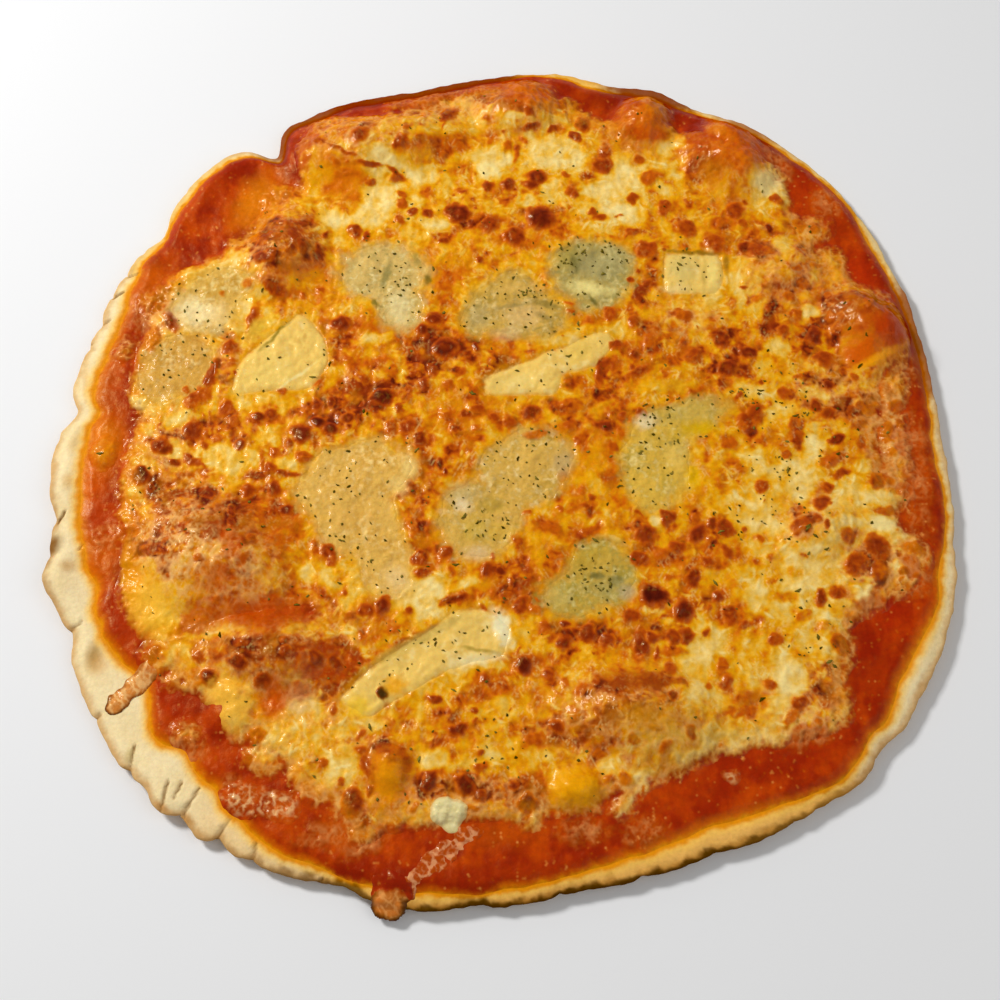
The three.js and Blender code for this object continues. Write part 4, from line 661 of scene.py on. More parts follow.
def bubble_height(x, y):
    height = 0
    for cx, cy, long, wide, turn, high in BUBBLES:
        d = oval_distance(x, y, cx, cy, long / 2, wide / 2, turn)
        d = d + 0.08 * noise(x, y, 16, 20)
        height = np.maximum(height, high * (1 - step(.15, 1, d)))
    return height * step(0, BUBBLE_EDGE_FADE, inside(crust_radius, x, y))


def dough_top(x, y):
    """The height of the dough's top, with its bubbles."""
    depth = inside(crust_radius, x, y)
    thickness = RIM_EDGE + (DOUGH_THICKNESS - RIM_EDGE) * step(0, RIM_BEVEL, depth)
    relief = 0.35 * noise(x, y, 18, 22) + 0.15 * noise(x, y, 7, 23) + 0.05 * noise(x, y, 2.5, 24)
    return underside(x, y) + thickness + bubble_height(x, y) + relief


def along_line(x, y, ax, ay, bx, by):
    """How far along the line from a to b a point lies, 0 to 1."""
    length_squared = (bx - ax) ** 2 + (by - ay) ** 2
    return np.clip(((x - ax) * (bx - ax) + (y - ay) * (by - ay)) / length_squared, 0, 1)


def crack(x, y):
    """1 in the cracks of the dough's edge, falling to 0 beside them."""
    nearest = np.full(np.shape(x), 9.0)
    bend = .5 * noise(x, y, 3, 26)
    for ax, ay, bx, by in CRACKS:
        t = along_line(x, y, ax, ay, bx, by)
        nearest = np.minimum(nearest, np.hypot(x - ax - t * (bx - ax) + bend, y - ay - t * (by - ay)))
    return step(.75, .15, nearest)


# ---------------------------------------------------------------- strands and blisters, on a fine grid

PITCH = 0.4  # mm between the grid's points
REACH = 172  # mm from the grid's middle to its edges
STRAND_REACH = 158  # strands start inside this radius
COUNT = int(2 * REACH / PITCH) + 1
AXIS = np.linspace(-REACH, REACH, COUNT)
GX, GY = np.meshgrid(AXIS, AXIS)


def blank(value=0):
    """A grid with the same value everywhere."""
    return np.full((COUNT, COUNT), value, np.float32)


def lookup(grid, x, y):
    """A grid's value at a point."""
    u = np.clip((x + REACH) / PITCH, 0, COUNT - 1.001)
    v = np.clip((y + REACH) / PITCH, 0, COUNT - 1.001)
    i = u.astype(int)
    j = v.astype(int)
    f = u - i
    g = v - j
    low = grid[j, i] * (1 - f) + grid[j, i + 1] * f
    high = grid[j + 1, i] * (1 - f) + grid[j + 1, i + 1] * f
    return low * (1 - g) + high * g


def strands(count, length, width, seed):
    """A grid of ridges, from 0 to 1, along many shreds of melted cheese that lie any way round."""
    rng = np.random.default_rng(seed)
    grid = blank()
    steps = int(length / PITCH)
    r = STRAND_REACH * np.sqrt(rng.random(count))
    a = rng.uniform(0, 2 * np.pi, count)
    x = r * np.cos(a)
    y = r * np.sin(a)
    heading = rng.uniform(0, 2 * np.pi, count)
    bend = rng.normal(0, .05, count)
    share = rng.uniform(.45, 1, count)
    strength = rng.uniform(.5, 1, count)
    half = int(1.6 * width / PITCH) + 1
    offsets = np.arange(-half, half + 1)
    ox, oy = np.meshgrid(offsets, offsets)
    for k in range(steps):
        x = x + PITCH * np.cos(heading)
        y = y + PITCH * np.sin(heading)
        bend = bend + rng.normal(0, .012, count)
        heading = heading + np.clip(bend, -.09, .09)
        along = k / steps / share
        alive = along < 1
        fade = strength * np.sqrt(np.clip(np.sin(np.pi * np.clip(along, 0, 1)), 0, 1))
        u = (x[alive] + REACH) / PITCH
        v = (y[alive] + REACH) / PITCH
        i = np.clip(np.round(u).astype(int), half, COUNT - 1 - half)
        j = np.clip(np.round(v).astype(int), half, COUNT - 1 - half)
        dx = (i[:, None, None] + ox - u[:, None, None]) * PITCH
        dy = (j[:, None, None] + oy - v[:, None, None]) * PITCH
        value = fade[alive][:, None, None] * np.exp(-(dx ** 2 + dy ** 2) / (width / 2) ** 2)
        np.maximum.at(grid, (j[:, None, None] + oy, i[:, None, None] + ox), value.astype(np.float32))
    return grid


PIECES = SLICES + POOLS
WIDE_STRANDS = strands(1500, length=22, width=2.2, seed=51)
FINE_STRANDS = strands(3600, length=16, width=1.0, seed=52)
SHORT_STRANDS = strands(5600, length=7, width=1.3, seed=53)
WARP_X = (GX + 1.2 * noise(GX, GY, 7, 30) + .6 * noise(GX, GY, 2.6, 31)).astype(np.float32)
WARP_Y = (GY + 1.2 * noise(GX, GY, 7, 32) + .6 * noise(GX, GY, 2.6, 33)).astype(np.float32)


def window(x, y, reach):
    """The part of the grid within reach of a point."""
    i = int(round((x + REACH) / PITCH))
    j = int(round((y + REACH) / PITCH))
    n = int(reach / PITCH) + 2
    return slice(max(0, j - n), j + n + 1), slice(max(0, i - n), i + n + 1)


def paint(grid, x, y, half_long, half_wide, turn, value, share=1, soft=.35):
    """Paints an uneven oval with a soft edge onto a grid."""
    part = window(x, y, (1 + soft) * max(half_long, half_wide) + 3)
    d = oval_distance(WARP_X[part], WARP_Y[part], x, y, half_long, half_wide, turn)
    grid[part] += (value - grid[part]) * share * step(1 + soft, 1 - soft, d)


def paint_zones(grid, zones, value, most=.9):
    for *oval, strength in zones:
        paint(grid, *oval, value, min(most, .8 * strength), .6)


def zone_grid(zones, most=.9):
    """A grid that is 1 in the zones, as far as their strength lets it, and 0 outside them."""
    grid = blank()
    paint_zones(grid, zones, 1, most)
    return grid


BLISTER_CANDIDATES = 3600
BLISTER_REACH = 152  # small blisters are tried in the square with this half side
WIDEST_RAISED = 3.4  # dark strokes with a smaller half width than this, and
LONGEST_RAISED = 8  # a smaller half length than this, are raised as blisters


def blister_places(rng):
    """Blisters as ovals with a tone: the larger ones listed, and small ones between them."""
    spots = []
    for x, y, r, tone in SPOTS:
        if tone > RAISED_TONE:
            stretch = rng.uniform(.85, 1.18)
            spots.append((x, y, r * stretch, r / stretch, rng.uniform(0, 180), tone))
    for stroke in STROKES:
        small = min(stroke[2:4]) < WIDEST_RAISED and max(stroke[2:4]) < LONGEST_RAISED
        if stroke[5] > RAISED_TONE and small:
            spots.append(stroke)
    taken = blank()
    for x, y, half_long, half_wide, turn, _ in spots:
        paint(taken, x, y, half_long + 1, half_wide + 1, turn, 1)
    for *oval, strength in CREAM_ZONES:
        paint(taken, *oval, 1, .7 * strength)
    tried = rng.uniform(-BLISTER_REACH, BLISTER_REACH, (BLISTER_CANDIDATES, 2))
    room = inside(cheese_radius, tried[:, 0], tried[:, 1])
    softer = lookup(SOFT_DEPTH, tried[:, 0], tried[:, 1])
    for (x, y), depth, soft in zip(tried, room, softer):
        toast = lookup(TOAST, x, y)
        if depth > 2 and soft < 0 and rng.random() < (.12 + .6 * toast) * (1 - lookup(taken, x, y)):
            r = rng.uniform(.5, 1.7)
            stretch = rng.uniform(.6, 1.7)
            tone = RAISED_TONE + rng.uniform(0, .14) + .1 * toast
            spots.append((x, y, r * stretch, r / stretch, rng.uniform(0, 180), tone))
            paint(taken, x, y, r + 1, r + 1, 0, 1)
    return spots


def stamp_blisters():
    """Grids of the blisters' height, darkness and distance from the middle, where 1 is the edge."""
    rng = np.random.default_rng(77)
    height = blank()
    dark = blank()
    rim = blank(9)
    for x, y, half_long, half_wide, turn, tone in blister_places(rng):
        part = window(x, y, 2.4 * max(half_long, half_wide) + 2)
        r = min(half_long, half_wide)
        wander = .7 + .8 * rng.random()
        wx = GX[part] + wander * (WARP_X[part] - GX[part])
        wy = GY[part] + wander * (WARP_Y[part] - GY[part])
        d = oval_distance(wx, wy, x, y, half_long, half_wide, turn)
        dome = np.sqrt(np.clip(1 - d ** 2, 0, 1)) * (.17 * r + .1)
        height[part] = np.maximum(height[part], dome)
        rim[part] = np.minimum(rim[part], 1 + (d - 1) * min(1, r / 1.6))
        pale_middle = 1 - .25 * step(.6, .1, d) * (rng.random() < .3) * (r > 1.8)
        depth = (tone - .6) / (1 - .6)
        dark[part] = np.maximum(dark[part], depth * step(1.3, .45, d) * pale_middle)
    return height, dark, rim


def part_depth(part, x, y):
    """How far inside an oval, or a convex outline given by its corners, a point lies, in mm."""
    if not isinstance(part[0], tuple):
        return (1 - oval_distance(x, y, *part)) * min(part[2:4])
    mx, my = np.mean(part, axis=0)
    corner_sharpness = 1.1
    total = 0
    for (ax, ay), (bx, by) in zip(part, part[1:] + part[:1]):
        length = math.hypot(bx - ax, by - ay)
        side = math.copysign(1, (bx - ax) * (my - ay) - (by - ay) * (mx - ax))
        d = side * ((bx - ax) * (y - ay) - (by - ay) * (x - ax)) / length
        total = total + np.exp(-corner_sharpness * np.clip(d, -60, 60))
    return -np.log(total) / corner_sharpness


def piece_depth(piece, x, y):
    """How far inside a piece of softer cheese with an uneven outline a point lies, in mm."""
    parts = piece[1]
    joined = .6
    total = sum(np.exp(joined * np.clip(part_depth(part, x, y), -60, 60)) for part in parts)
    seed = SEEDS[piece[0]]
    wander = 1.5 * noise(x, y, 12, seed) + .9 * noise(x, y, 5, seed + 1) + .4 * noise(x, y, 2.2, seed + 2)
    return np.log(total) / joined + wander * (.35 if isinstance(parts[0][0], tuple) else 1)


def piece_box(piece, margin):
    """The lowest and highest corners of the box around a piece of softer cheese."""
    corners = []
    for part in piece[1]:
        if isinstance(part[0], tuple):
            corners += part
        else:
            x, y, half_long, half_wide, _ = part
            r = max(half_long, half_wide)
            corners += [(x - r, y - r), (x + r, y + r)]
    return np.min(corners, axis=0) - margin, np.max(corners, axis=0) + margin


def paint_softer_depth():
    """A grid of how far inside the nearest piece of softer cheese each point lies."""
    depth = blank(-9)
    for piece in PIECES:
        low, high = piece_box(piece, 9)
        part = window(*((low + high) / 2), max(high - low) / 2)
        depth[part] = np.maximum(depth[part], piece_depth(piece, GX[part], GY[part]))
    return depth


def paint_reach():
    """A grid of how far inside the patches where the blanket reaches further out each point lies."""
    depth = blank(-30)
    for patch in REACHES:
        depth = np.maximum(depth, part_depth(patch, GX, GY))
    return depth


SEEDS = {piece[0]: 200 + 30 * k for k, piece in enumerate(PIECES + BITS)}
SOFT_DEPTH = paint_softer_depth()
REACH_DEPTH = paint_reach()
TOAST = zone_grid(TOAST_ZONES)
STRINGY = zone_grid(STRINGY_ZONES)
SMOOTH = zone_grid(ORANGE_ZONES, most=.8)
CALM = zone_grid(CALM_ZONES, most=1)
NETTED = zone_grid(NETTED_ZONES, most=1)
THREAD_PLACES = blank()
for thread_place in THREADS:
    paint(THREAD_PLACES, *thread_place, 1, soft=.6)
BLISTER_HEIGHT, BLISTER_DARK, BLISTER_RIM = stamp_blisters()


def film(x, y):
    """A net of thin stretched cheese with small holes in it, 0 to 1."""
    wide_net = step(.34, .05, np.abs(noise(x, .8 * y, 4, 160) + .3 * noise(x, y, 1.8, 161)))
    fine_net = step(.32, .05, np.abs(noise(x, y, 2.2, 162) + .25 * noise(x, y, 1.2, 163)))
    return np.clip(.75 * wide_net + .5 * fine_net + .3 * noise(x, y, 5, 164), 0, 1)


def as_seen(x, y):
    """Where the camera sees the blanket's point (x, y), on a flat plane through the pizza's top.

    The lists give the details' places as they are seen on that plane, so that none drifts on a slope.
    """
    rise = cheese_base(x, y) - SEEN_PLANE
    share = rise / (CAMERA_PLACE[2] - SEEN_PLANE - rise)
    return x + (x - CAMERA_PLACE[0]) * share, y + (y - CAMERA_PLACE[1]) * share


def sauce_top(x, y):
    """The height of the sauce's top."""
    depth = inside(sauce_radius, x, y)
    body = 1.5 * step(0, 5, depth) + .3 * step(0, 1.2, depth) - .7 * step(.6, -1.2, depth)
    lumps = 0.2 * noise(x, y, 9, 40) + 0.15 * noise(x, y, 3.2, 41) + 0.08 * noise(x, y, 1.6, 42)
    threads = .35 * film(x, y) * lookup(THREAD_PLACES, x, y)
    return dough_top(x, y) + body + (lumps + threads) * step(0, 4, depth)


def cheese_depth(x, y):
    """How far inside the blanket's uneven outline a point lies."""
    edge = 3 * noise(x, y, 13, 60) + 1.6 * noise(x, y, 5.5, 61) + .5 * noise(x, y, 2.4, 65)
    pull = .7 * (np.maximum(lookup(WIDE_STRANDS, x, y), .8 * lookup(FINE_STRANDS, x, y)) - .45)
    plain = np.maximum(inside(cheese_radius, x, y) + edge, lookup(REACH_DEPTH, x, y) + .4 * edge)
    return np.minimum(plain + pull, inside(sauce_radius, x, y) + 1.5)


def cheese_base(x, y):
    """The blanket's top without strands or blisters."""
    return dough_top(x, y) + SAUCE_THICKNESS + CHEESE_THICKNESS + .35 * noise(x, y, 14, 62)


def cheese_top(x, y):
    """The top of the blanket and of the pools in it, without the softer cheeses' own rise."""
    depth = cheese_depth(x, y)
    sx, sy = as_seen(x, y)
    soft = step(-1.5, 2.5, lookup(SOFT_DEPTH, sx, sy))
    stringy = lookup(STRINGY, sx, sy)
    relief = .4 * noise(x, .8 * y, 6, 63) + .26 * noise(x, .6 * y, 2.6, 64)
    relief = relief + .1 * noise(x, .7 * y, 1.4, 66) - .1
    relief = relief + .3 * lookup(WIDE_STRANDS, x, y) * (.5 + .3 * stringy)
    relief = relief + .3 * lookup(FINE_STRANDS, x, y) * (.4 + .3 * stringy) + .25 * film(x, y) * stringy
    quiet_relief = .4 * noise(x, y, 8, 67) + .28 * noise(x, y, 3.2, 68) + .12 * noise(x, .8 * y, 1.5, 69)
    relief = relief + .2 * film(x, y) * step(12, 3, depth)
    relief = relief + .28 * lookup(SHORT_STRANDS, x, y)
    relief = relief * (1 - .6 * lookup(CALM, sx, sy))
    relief = relief * (1 - soft) + quiet_relief * soft + lookup(BLISTER_HEIGHT, sx, sy)
    edge = sauce_top(x, y) - .45 + step(-2.5, 4.5, depth)
    full = cheese_base(x, y) - .5 * soft
    share = step(1, 11, depth)
    return edge * (1 - share) + full * share + relief * step(-1, 5, depth)


# ---------------------------------------------------------------- meshes

def only_used(triangles, count):
    """The points that triangles use, and the triangles with those points numbered again."""
    used = np.unique(triangles)
    renumber = np.zeros(count, int)
    renumber[used] = np.arange(len(used))
    return used, renumber[triangles]


def triangle_grid(spacing, low, high, keep):
    """Points and triangles of a flat grid of equal triangles, where keep(x, y) holds at all corners."""
    row_height = spacing * math.sqrt(3) / 2
    columns = int((high[0] - low[0]) / spacing) + 2
    rows = int((high[1] - low[1]) / row_height) + 2
    r, c = np.meshgrid(np.arange(rows), np.arange(columns), indexing="ij")
    x = (low[0] + (c + .5 * (r % 2)) * spacing).ravel()
    y = (low[1] + r * row_height).ravel()
    index = (r * columns + c)[:-1, :-1]
    a, b, up, up_right = index, index + 1, index + columns, index + columns + 1
    even = (r % 2 == 0)[:-1, :-1, None]
    first = np.where(even, np.stack([a, b, up], -1), np.stack([a, b, up_right], -1))
    second = np.where(even, np.stack([b, up_right, up], -1), np.stack([a, up_right, up], -1))
    triangles = np.concatenate([first.reshape(-1, 3), second.reshape(-1, 3)])
    used, triangles = only_used(triangles[keep(x, y)[triangles].all(1)], len(x))
    return x[used], y[used], triangles


WALL_FOOT = 1  # a closed sheet's walls end this far above the dough's underside
BOTTOM_HEIGHT = 1.2  # the height of its bottom point


def closed_below(x, y, z, triangles, bottom):
    """Closes a sheet inside the dough: a wall down from its open edges, then faces to a bottom point."""
    n = len(x)
    edges = np.concatenate([triangles[:, [0, 1]], triangles[:, [1, 2]], triangles[:, [2, 0]]])
    keys = edges[:, 0] * n + edges[:, 1]
    reverse = edges[:, 1] * n + edges[:, 0]
    open_edges = edges[~np.isin(keys, reverse)]
    rim = np.unique(open_edges)
    low = np.zeros(n, int)
    low[rim] = n + np.arange(len(rim))
    a, b = open_edges[:, 0], open_edges[:, 1]
    last = np.full(len(a), n + len(rim))
    walls = np.concatenate([
        np.column_stack([b, a, low[a]]), np.column_stack([b, low[a], low[b]]),
        np.column_stack([low[b], low[a], last])])
    points = np.concatenate([
        np.column_stack([x, y, z]),
        np.column_stack([x[rim], y[rim], underside(x[rim], y[rim]) + WALL_FOOT]),
        [[bottom[0], bottom[1], BOTTOM_HEIGHT]]])
    return points, np.concatenate([triangles, walls])


def sheet_normals(x, y, z, triangles):
    """The smooth normal at each point of a sheet, so that it can be cut into pieces without seams."""
    p = np.column_stack([x, y, z])
    a, b, c = p[triangles[:, 0]], p[triangles[:, 1]], p[triangles[:, 2]]
    across = np.cross(b - a, c - a)
    total = np.zeros_like(p)
    for k in range(3):
        for axis in range(3):
            total[:, axis] += np.bincount(triangles[:, k], across[:, axis], len(p))
    return total / np.linalg.norm(total, axis=1)[:, None]


def towards_camera(x, y, z, normals):
    """1 where a surface faces the camera, falling to 0 where it is seen at a glancing angle."""
    away = np.array(CAMERA_PLACE) - np.column_stack([x, y, z])
    facing = (away * normals).sum(1) / np.linalg.norm(away, axis=1)
    return step(.25, .65, facing)


# The studio's light makes every colour a little bluer and paler; these make up for it.
LIGHT_GAIN = np.array([1.15, 1.08, .9])
SHEEN = np.array([0, .006, .01])


def add_object(name, data):
    made = bpy.data.objects.new(name, data)
    bpy.context.scene.collection.objects.link(made)
    return made


def make_mesh(name, points, triangles, tint, wet, material, normals=None):
    """A smooth mesh object from points in mm, with a colour and a wetness at each shown point.

    The points after those with a colour are hidden ones.
    """
    hidden = len(points) - len(tint)
    metres = (points - np.array([MIDDLE[0], MIDDLE[1], 0])) / 1000
    mesh = bpy.data.meshes.new(name)
    mesh.vertices.add(len(metres))
    mesh.vertices.foreach_set("co", metres.astype(np.float32).ravel())
    mesh.loops.add(triangles.size)
    mesh.loops.foreach_set("vertex_index", triangles.astype(np.int32).ravel())
    mesh.polygons.add(len(triangles))
    mesh.polygons.foreach_set("loop_start", np.arange(0, triangles.size, 3, dtype=np.int32))
    mesh.update(calc_edges=True)
    mesh.shade_smooth()
    if normals is not None:
        mesh.normals_split_custom_set_from_vertices(
            np.concatenate([normals, np.zeros((hidden, 3))]).astype(np.float32))
    tint = tint * LIGHT_GAIN - SHEEN
    rows = np.ones((len(points), 4), np.float32)
    rows[:, :3] = np.clip(np.concatenate([tint, np.repeat(tint[:1], hidden, 0)]), 0, 1)
    colour = mesh.color_attributes.new("tint", "FLOAT_COLOR", "POINT")
    colour.data.foreach_set("color", rows.ravel())
    wetness = mesh.attributes.new("wet", "FLOAT", "POINT")
    wetness.data.foreach_set("value", np.clip(np.append(wet, np.zeros(hidden)), 0, 1).astype(np.float32))
    mesh.materials.append(material)
    piece = add_object(name, mesh)
    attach(piece, "root")
    return piece


# ---------------------------------------------------------------- materials

def food_material(name, grain, grain_size, bump, rough, wet_rough, scatter, scatter_depth, coat):
    """Colour from the mesh's tint with fine grain on it, wet where the mesh says so."""
    material = bpy.data.materials.new(name)
    material.use_nodes = True
    nodes = material.node_tree.nodes
    links = material.node_tree.links
    surface = nodes["Principled BSDF"]
    surface.inputs["IOR"].default_value = 1.45
    surface.inputs["Specular Tint"].default_value = (1, .7, .2, 1)
    surface.inputs["Coat Roughness"].default_value = .1
    surface.inputs["Subsurface Weight"].default_value = scatter
    surface.inputs["Subsurface Radius"].default_value = (1.0, .55, .25)
    surface.inputs["Subsurface Scale"].default_value = scatter_depth / 1000
    place = nodes.new("ShaderNodeTexCoord")

    def attribute(name):
        node = nodes.new("ShaderNodeAttribute")
        node.attribute_name = name
        return node

    def ranged(value, target, low, high, to_low, to_high):
        """Turns the range from low to high into the one from to_low to to_high."""
        node = nodes.new("ShaderNodeMapRange")
        node.inputs["From Min"].default_value = low
        node.inputs["From Max"].default_value = high
        node.inputs["To Min"].default_value = to_low
        node.inputs["To Max"].default_value = to_high
        links.new(value, node.inputs["Value"])
        links.new(node.outputs["Result"], target)

    def noise_node(size, detail):
        node = nodes.new("ShaderNodeTexNoise")
        node.inputs["Scale"].default_value = 1000 / size
        node.inputs["Detail"].default_value = detail
        node.inputs["Roughness"].default_value = .6
        links.new(place.outputs["Object"], node.inputs["Vector"])
        return node

    shade = nodes.new("ShaderNodeMix")
    shade.data_type = "RGBA"
    shade.blend_type = "MULTIPLY"
    shade.inputs["Factor"].default_value = 1
    links.new(attribute("tint").outputs["Color"], shade.inputs["A"])
    ranged(noise_node(grain_size, 3).outputs["Fac"], shade.inputs["B"], .3, .7, 1 - grain, 1 + grain)
    links.new(shade.outputs["Result"], surface.inputs["Base Color"])

    wet = attribute("wet").outputs["Fac"]
    ranged(wet, surface.inputs["Roughness"], 0, 1, rough, wet_rough)
    ranged(wet, surface.inputs["Specular IOR Level"], 0, .3, 0, .3)
    ranged(wet, surface.inputs["Coat Weight"], 0, .3, 0, coat)

    relief = nodes.new("ShaderNodeBump")
    relief.inputs["Strength"].default_value = 1
    relief.inputs["Distance"].default_value = bump / 1000
    links.new(noise_node(grain_size * .9, 4).outputs["Fac"], relief.inputs["Height"])
    links.new(relief.outputs["Normal"], surface.inputs["Normal"])
    return material


CRUST_MATERIAL = food_material(
    "baked_dough", grain=.07, grain_size=1.4, bump=.25, rough=.9, wet_rough=.6,
    scatter=.08, scatter_depth=1.5, coat=0)
SAUCE_MATERIAL = food_material(
    "cooked_sauce", grain=.1, grain_size=1.4, bump=.15, rough=.55, wet_rough=.28,
    scatter=.04, scatter_depth=1.2, coat=.02)
CHEESE_MATERIAL = food_material(
    "blanket_cheese", grain=.08, grain_size=1.2, bump=.12, rough=.5, wet_rough=.26,
    scatter=.08, scatter_depth=1.5, coat=.1)
BRIE_MATERIAL = food_material(
    "brie_cheese", grain=.05, grain_size=2.2, bump=.18, rough=.5, wet_rough=.34,
    scatter=.15, scatter_depth=2.5, coat=.1)
POOL_MATERIAL = food_material(
    "soft_cheese", grain=.08, grain_size=1.5, bump=.25, rough=.55, wet_rough=.36,
    scatter=.12, scatter_depth=2.2, coat=.08)
HERB_MATERIAL = food_material(
    "dried_herbs", grain=.25, grain_size=.6, bump=.1, rough=.8, wet_rough=.8,
    scatter=0, scatter_depth=1, coat=0)

# The colour of melted cheese as it bakes, from pale to nearly black.
BAKED = ((0, "F4DA98"), (.15, "EBCB7C"), (.3, "E6B84A"), (.42, "E5A51C"), (.55, "D98A0C"),
         (.68, "CA6408"), (.8, "A44006"), (.9, "7A2605"), (1, "501405"), (1.1, "280A04"))
BAKED_AT = [at for at, _ in BAKED]
BAKED_COLOURS = np.array([rgb(code) for _, code in BAKED])

SAUCE_RED = rgb("9E2A03")
SAUCE_DARK = rgb("821A02")
SAUCE_ORANGE = rgb("C84E06")
STRAND = rgb("F2CE90")
# the colour of the painted highlights on the cheese
GLINT = rgb("F8D890")
THREAD = rgb("DC9660")
DOUGH = rgb("F0E0BC")
DOUGH_DARK = rgb("E4CEA0")


def baked(tone):
    """The colour of melted cheese, by how baked it looks."""
    return np.stack([np.interp(tone, BAKED_AT, BAKED_COLOURS[:, k]) for k in range(3)], -1)


def sauce_colour(x, y):
    coarse = clouds(x, y, 12, 130)
    fine = clouds(x, y, 3, 134)
    streak = clouds(x, .4 * y, 4, 138)
    colour = mix(SAUCE_RED, SAUCE_ORANGE, .2 + .7 * coarse + .3 * fine + .4 * streak)
    return mix(colour, SAUCE_DARK, .1 - .9 * coarse - .3 * fine - .4 * streak)


def brie_colour(piece, x, y):
    """The colour of a slice of brie."""
    seed = SEEDS[piece[0]]
    coarse = clouds(x, y, 9, seed + 10)
    fine = clouds(x, y, 2.5, seed + 13)
    colour = mix(rgb("ECCB74"), rgb("DEB45A"), .3 + .5 * coarse)
    darker = .8 * fine - coarse + .8 * clouds(x, y, 1.4, seed + 16)
    colour = mix(colour, rgb("D2A24A"), .5 * step(.3, 1.1, darker))
    return mix(colour, rgb("F4E2A6"), .55 * step(.1, 1, fine + coarse))


def pool_colour(piece, x, y):
    """The colour of a pool of goat cheese or blue cheese."""
    seed = SEEDS[piece[0]]
    _, _, main, darker, paler = piece
    coarse = clouds(x, y, 10, seed + 10)
    fine = clouds(x, y, 2.6, seed + 13)
    grain = clouds(x, y, 1.3, seed + 16, 1)
    curd = step(.25, .05, np.abs(noise(x, .8 * y, 5, seed + 24) + .5 * fine)) * step(-.2, .6, coarse)
    colour = mix(rgb(main), rgb(darker), .3 + 1.1 * coarse + .5 * fine + 1.1 * grain)
    colour = mix(colour, rgb(paler), .8 * step(0, .9, fine + .5 * coarse + .8 * grain) + .5 * curd)
    flecks = step(.5, .85, noise(x, y, 1.2, seed + 26)) * step(-.5, .6, clouds(x, y, 6, seed + 27))
    colour = mix(colour, rgb("7E6C2C"), .75 * flecks)
    if "blue" in piece[0]:
        mould = clouds(x, y, 2.4, seed + 18) + .6 * clouds(x, y, 12, seed + 22)
        colour = mix(colour, rgb("7C7444"), .5 * step(.4, 1, mould))
        colour = mix(colour, rgb("4C4A24"), .6 * step(.9, 1.4, mould))
    return colour


def bit_colour(name, x, y, depth):
    """The colour and wetness of a bit on the sauce: bare mozzarella, or a pale net over sauce."""
    fine = clouds(x, y, 2.2, SEEDS[name] + 13)
    if name == "mozzarella_bit":
        colour = mix(rgb("EAE2B8"), rgb("D6CA90"), .4 + .6 * fine)
        return mix(colour, rgb("D09A48"), .6 * step(1.2, 0, depth + fine)), .7 + .3 * fine
    sauce = sauce_with_film(x, y, step(-1, 3, depth))
    pale = .6 * step(.2, 1.2, fine + film(x, y)) * step(0, 4, depth + fine)
    return mix(sauce, rgb("E8C496"), pale), .7 + .3 * fine


def paint_tone():
    """A grid of how baked the blanket looks, with the strokes of painted shade on the bulge at (-98, -42) in
    it too.
    """
    tone = (.46 + .1 * clouds(GX, GY, 12, 72)).astype(np.float32)
    paint_zones(tone, YELLOW_ZONES, .42)
    paint_zones(tone, ORANGE_ZONES, .64)
    paint_zones(tone, CREAM_ZONES, .14)
    for *oval, value in STROKES:
        paint(tone, *oval, min(value, .9), .85)
    for x, y, r, value in SPOTS:
        if value <= RAISED_TONE:
            paint(tone, x, y, r, r, 0, value, .85)
    for x, y, half_long, half_wide, turn, shift in TONE_SHIFTS:
        part = window(x, y, 1.6 * max(half_long, half_wide) + 2)
        d = oval_distance(WARP_X[part], WARP_Y[part], x, y, half_long, half_wide, turn)
        shifted = tone[part] + shift * step(1.5, .5, d)
        tone[part] = np.minimum(shifted, np.maximum(tone[part], .8))
    return tone


def paint_red():
    """A grid of where the blanket is reddened: mostly where the sauce reddens it, and at (-76, 90) as
    painted shade.
    """
    red = zone_grid(RED_ZONES)
    for oval in RED_STROKES:
        paint(red, *oval, 1, .9)
    return red


TONE = paint_tone()
RED = paint_red()


# Tints on the sauce: (x, y, half length, half width, turn, colour, share).
SAUCE_TINTS = (
    (-141, 3, 7, 13, 0, "DE7A12", .8), (-142, -15, 6, 9, 0, "CC5408", .6),
    (-137, -42, 6, 9, 0, "CA5C0C", .7), (-92, 101, 8, 13, -25, "DC7E0C", .8),
    (-130, 66, 9, 12, -30, "CC600E", .6), (-142, 24, 5, 11, 0, "C8600E", .7),
    (-105, 116, 12, 5, 30, "922004", .6), (-124, 88, 6, 10, 20, "A83204", .5),
    (-133, -60, 5, 8, 10, "B03204", .5), (-112, -92, 8, 6, -30, "AC2C04", .5),
    (-92, -112, 7, 6, 0, "B83C06", .4), (30, -147, 40, 4, 5, "9A2604", .5),
    (-50, -134, 8, 6, 0, "C65A10", .6), (0, -136, 14, 5, 0, "C4560E", .5),
    (80, -113, 20, 6, 18, "A22804", .4), (110, -86, 6, 9, 0, "D0660E", .7),
    (100, -95, 8, 4, 0, "C85A10", .5), (132, -62, 9, 8, -40, "AC2604", .5),
    (124, -80, 9, 16, -20, "8E1C04", .6), (105, -108, 14, 6, 35, "9A2004", .5),
    (147, -5, 3, 22, 0, "B43806", .5), (125, 92, 8, 14, 30, "B03C08", .4), (132, 70, 6, 8, 0, "B83006", .6),
    (112, 108, 7, 7, 40, "A82C06", .5), (-30, 150, 30, 4, 12, "962604", .6),
    (-66, 128, 6, 10, -40, "9C2C06", .5), (42, 147, 12, 5, -10, "7C1804", .7),
    (147, -28, 4, 6, 0, "902404", .5), (-133, -60, 3, 9, 15, "A02C04", .6),
    (60, -126, 24, 6, 14, "9C2604", .35), (-110, 106, 8, 6, 30, "C44806", .4),
    (-139, -28, 6, 10, 0, "AE3402", .7), (-138, 20, 5, 12, 8, "A43202", .6),
    (-15, -150, 30, 5, 4, "881C02", .5), (-128, -66, 4, 8, 20, "A02804", .6),
    (143, 4, 5, 16, 0, "A03008", .5),
)


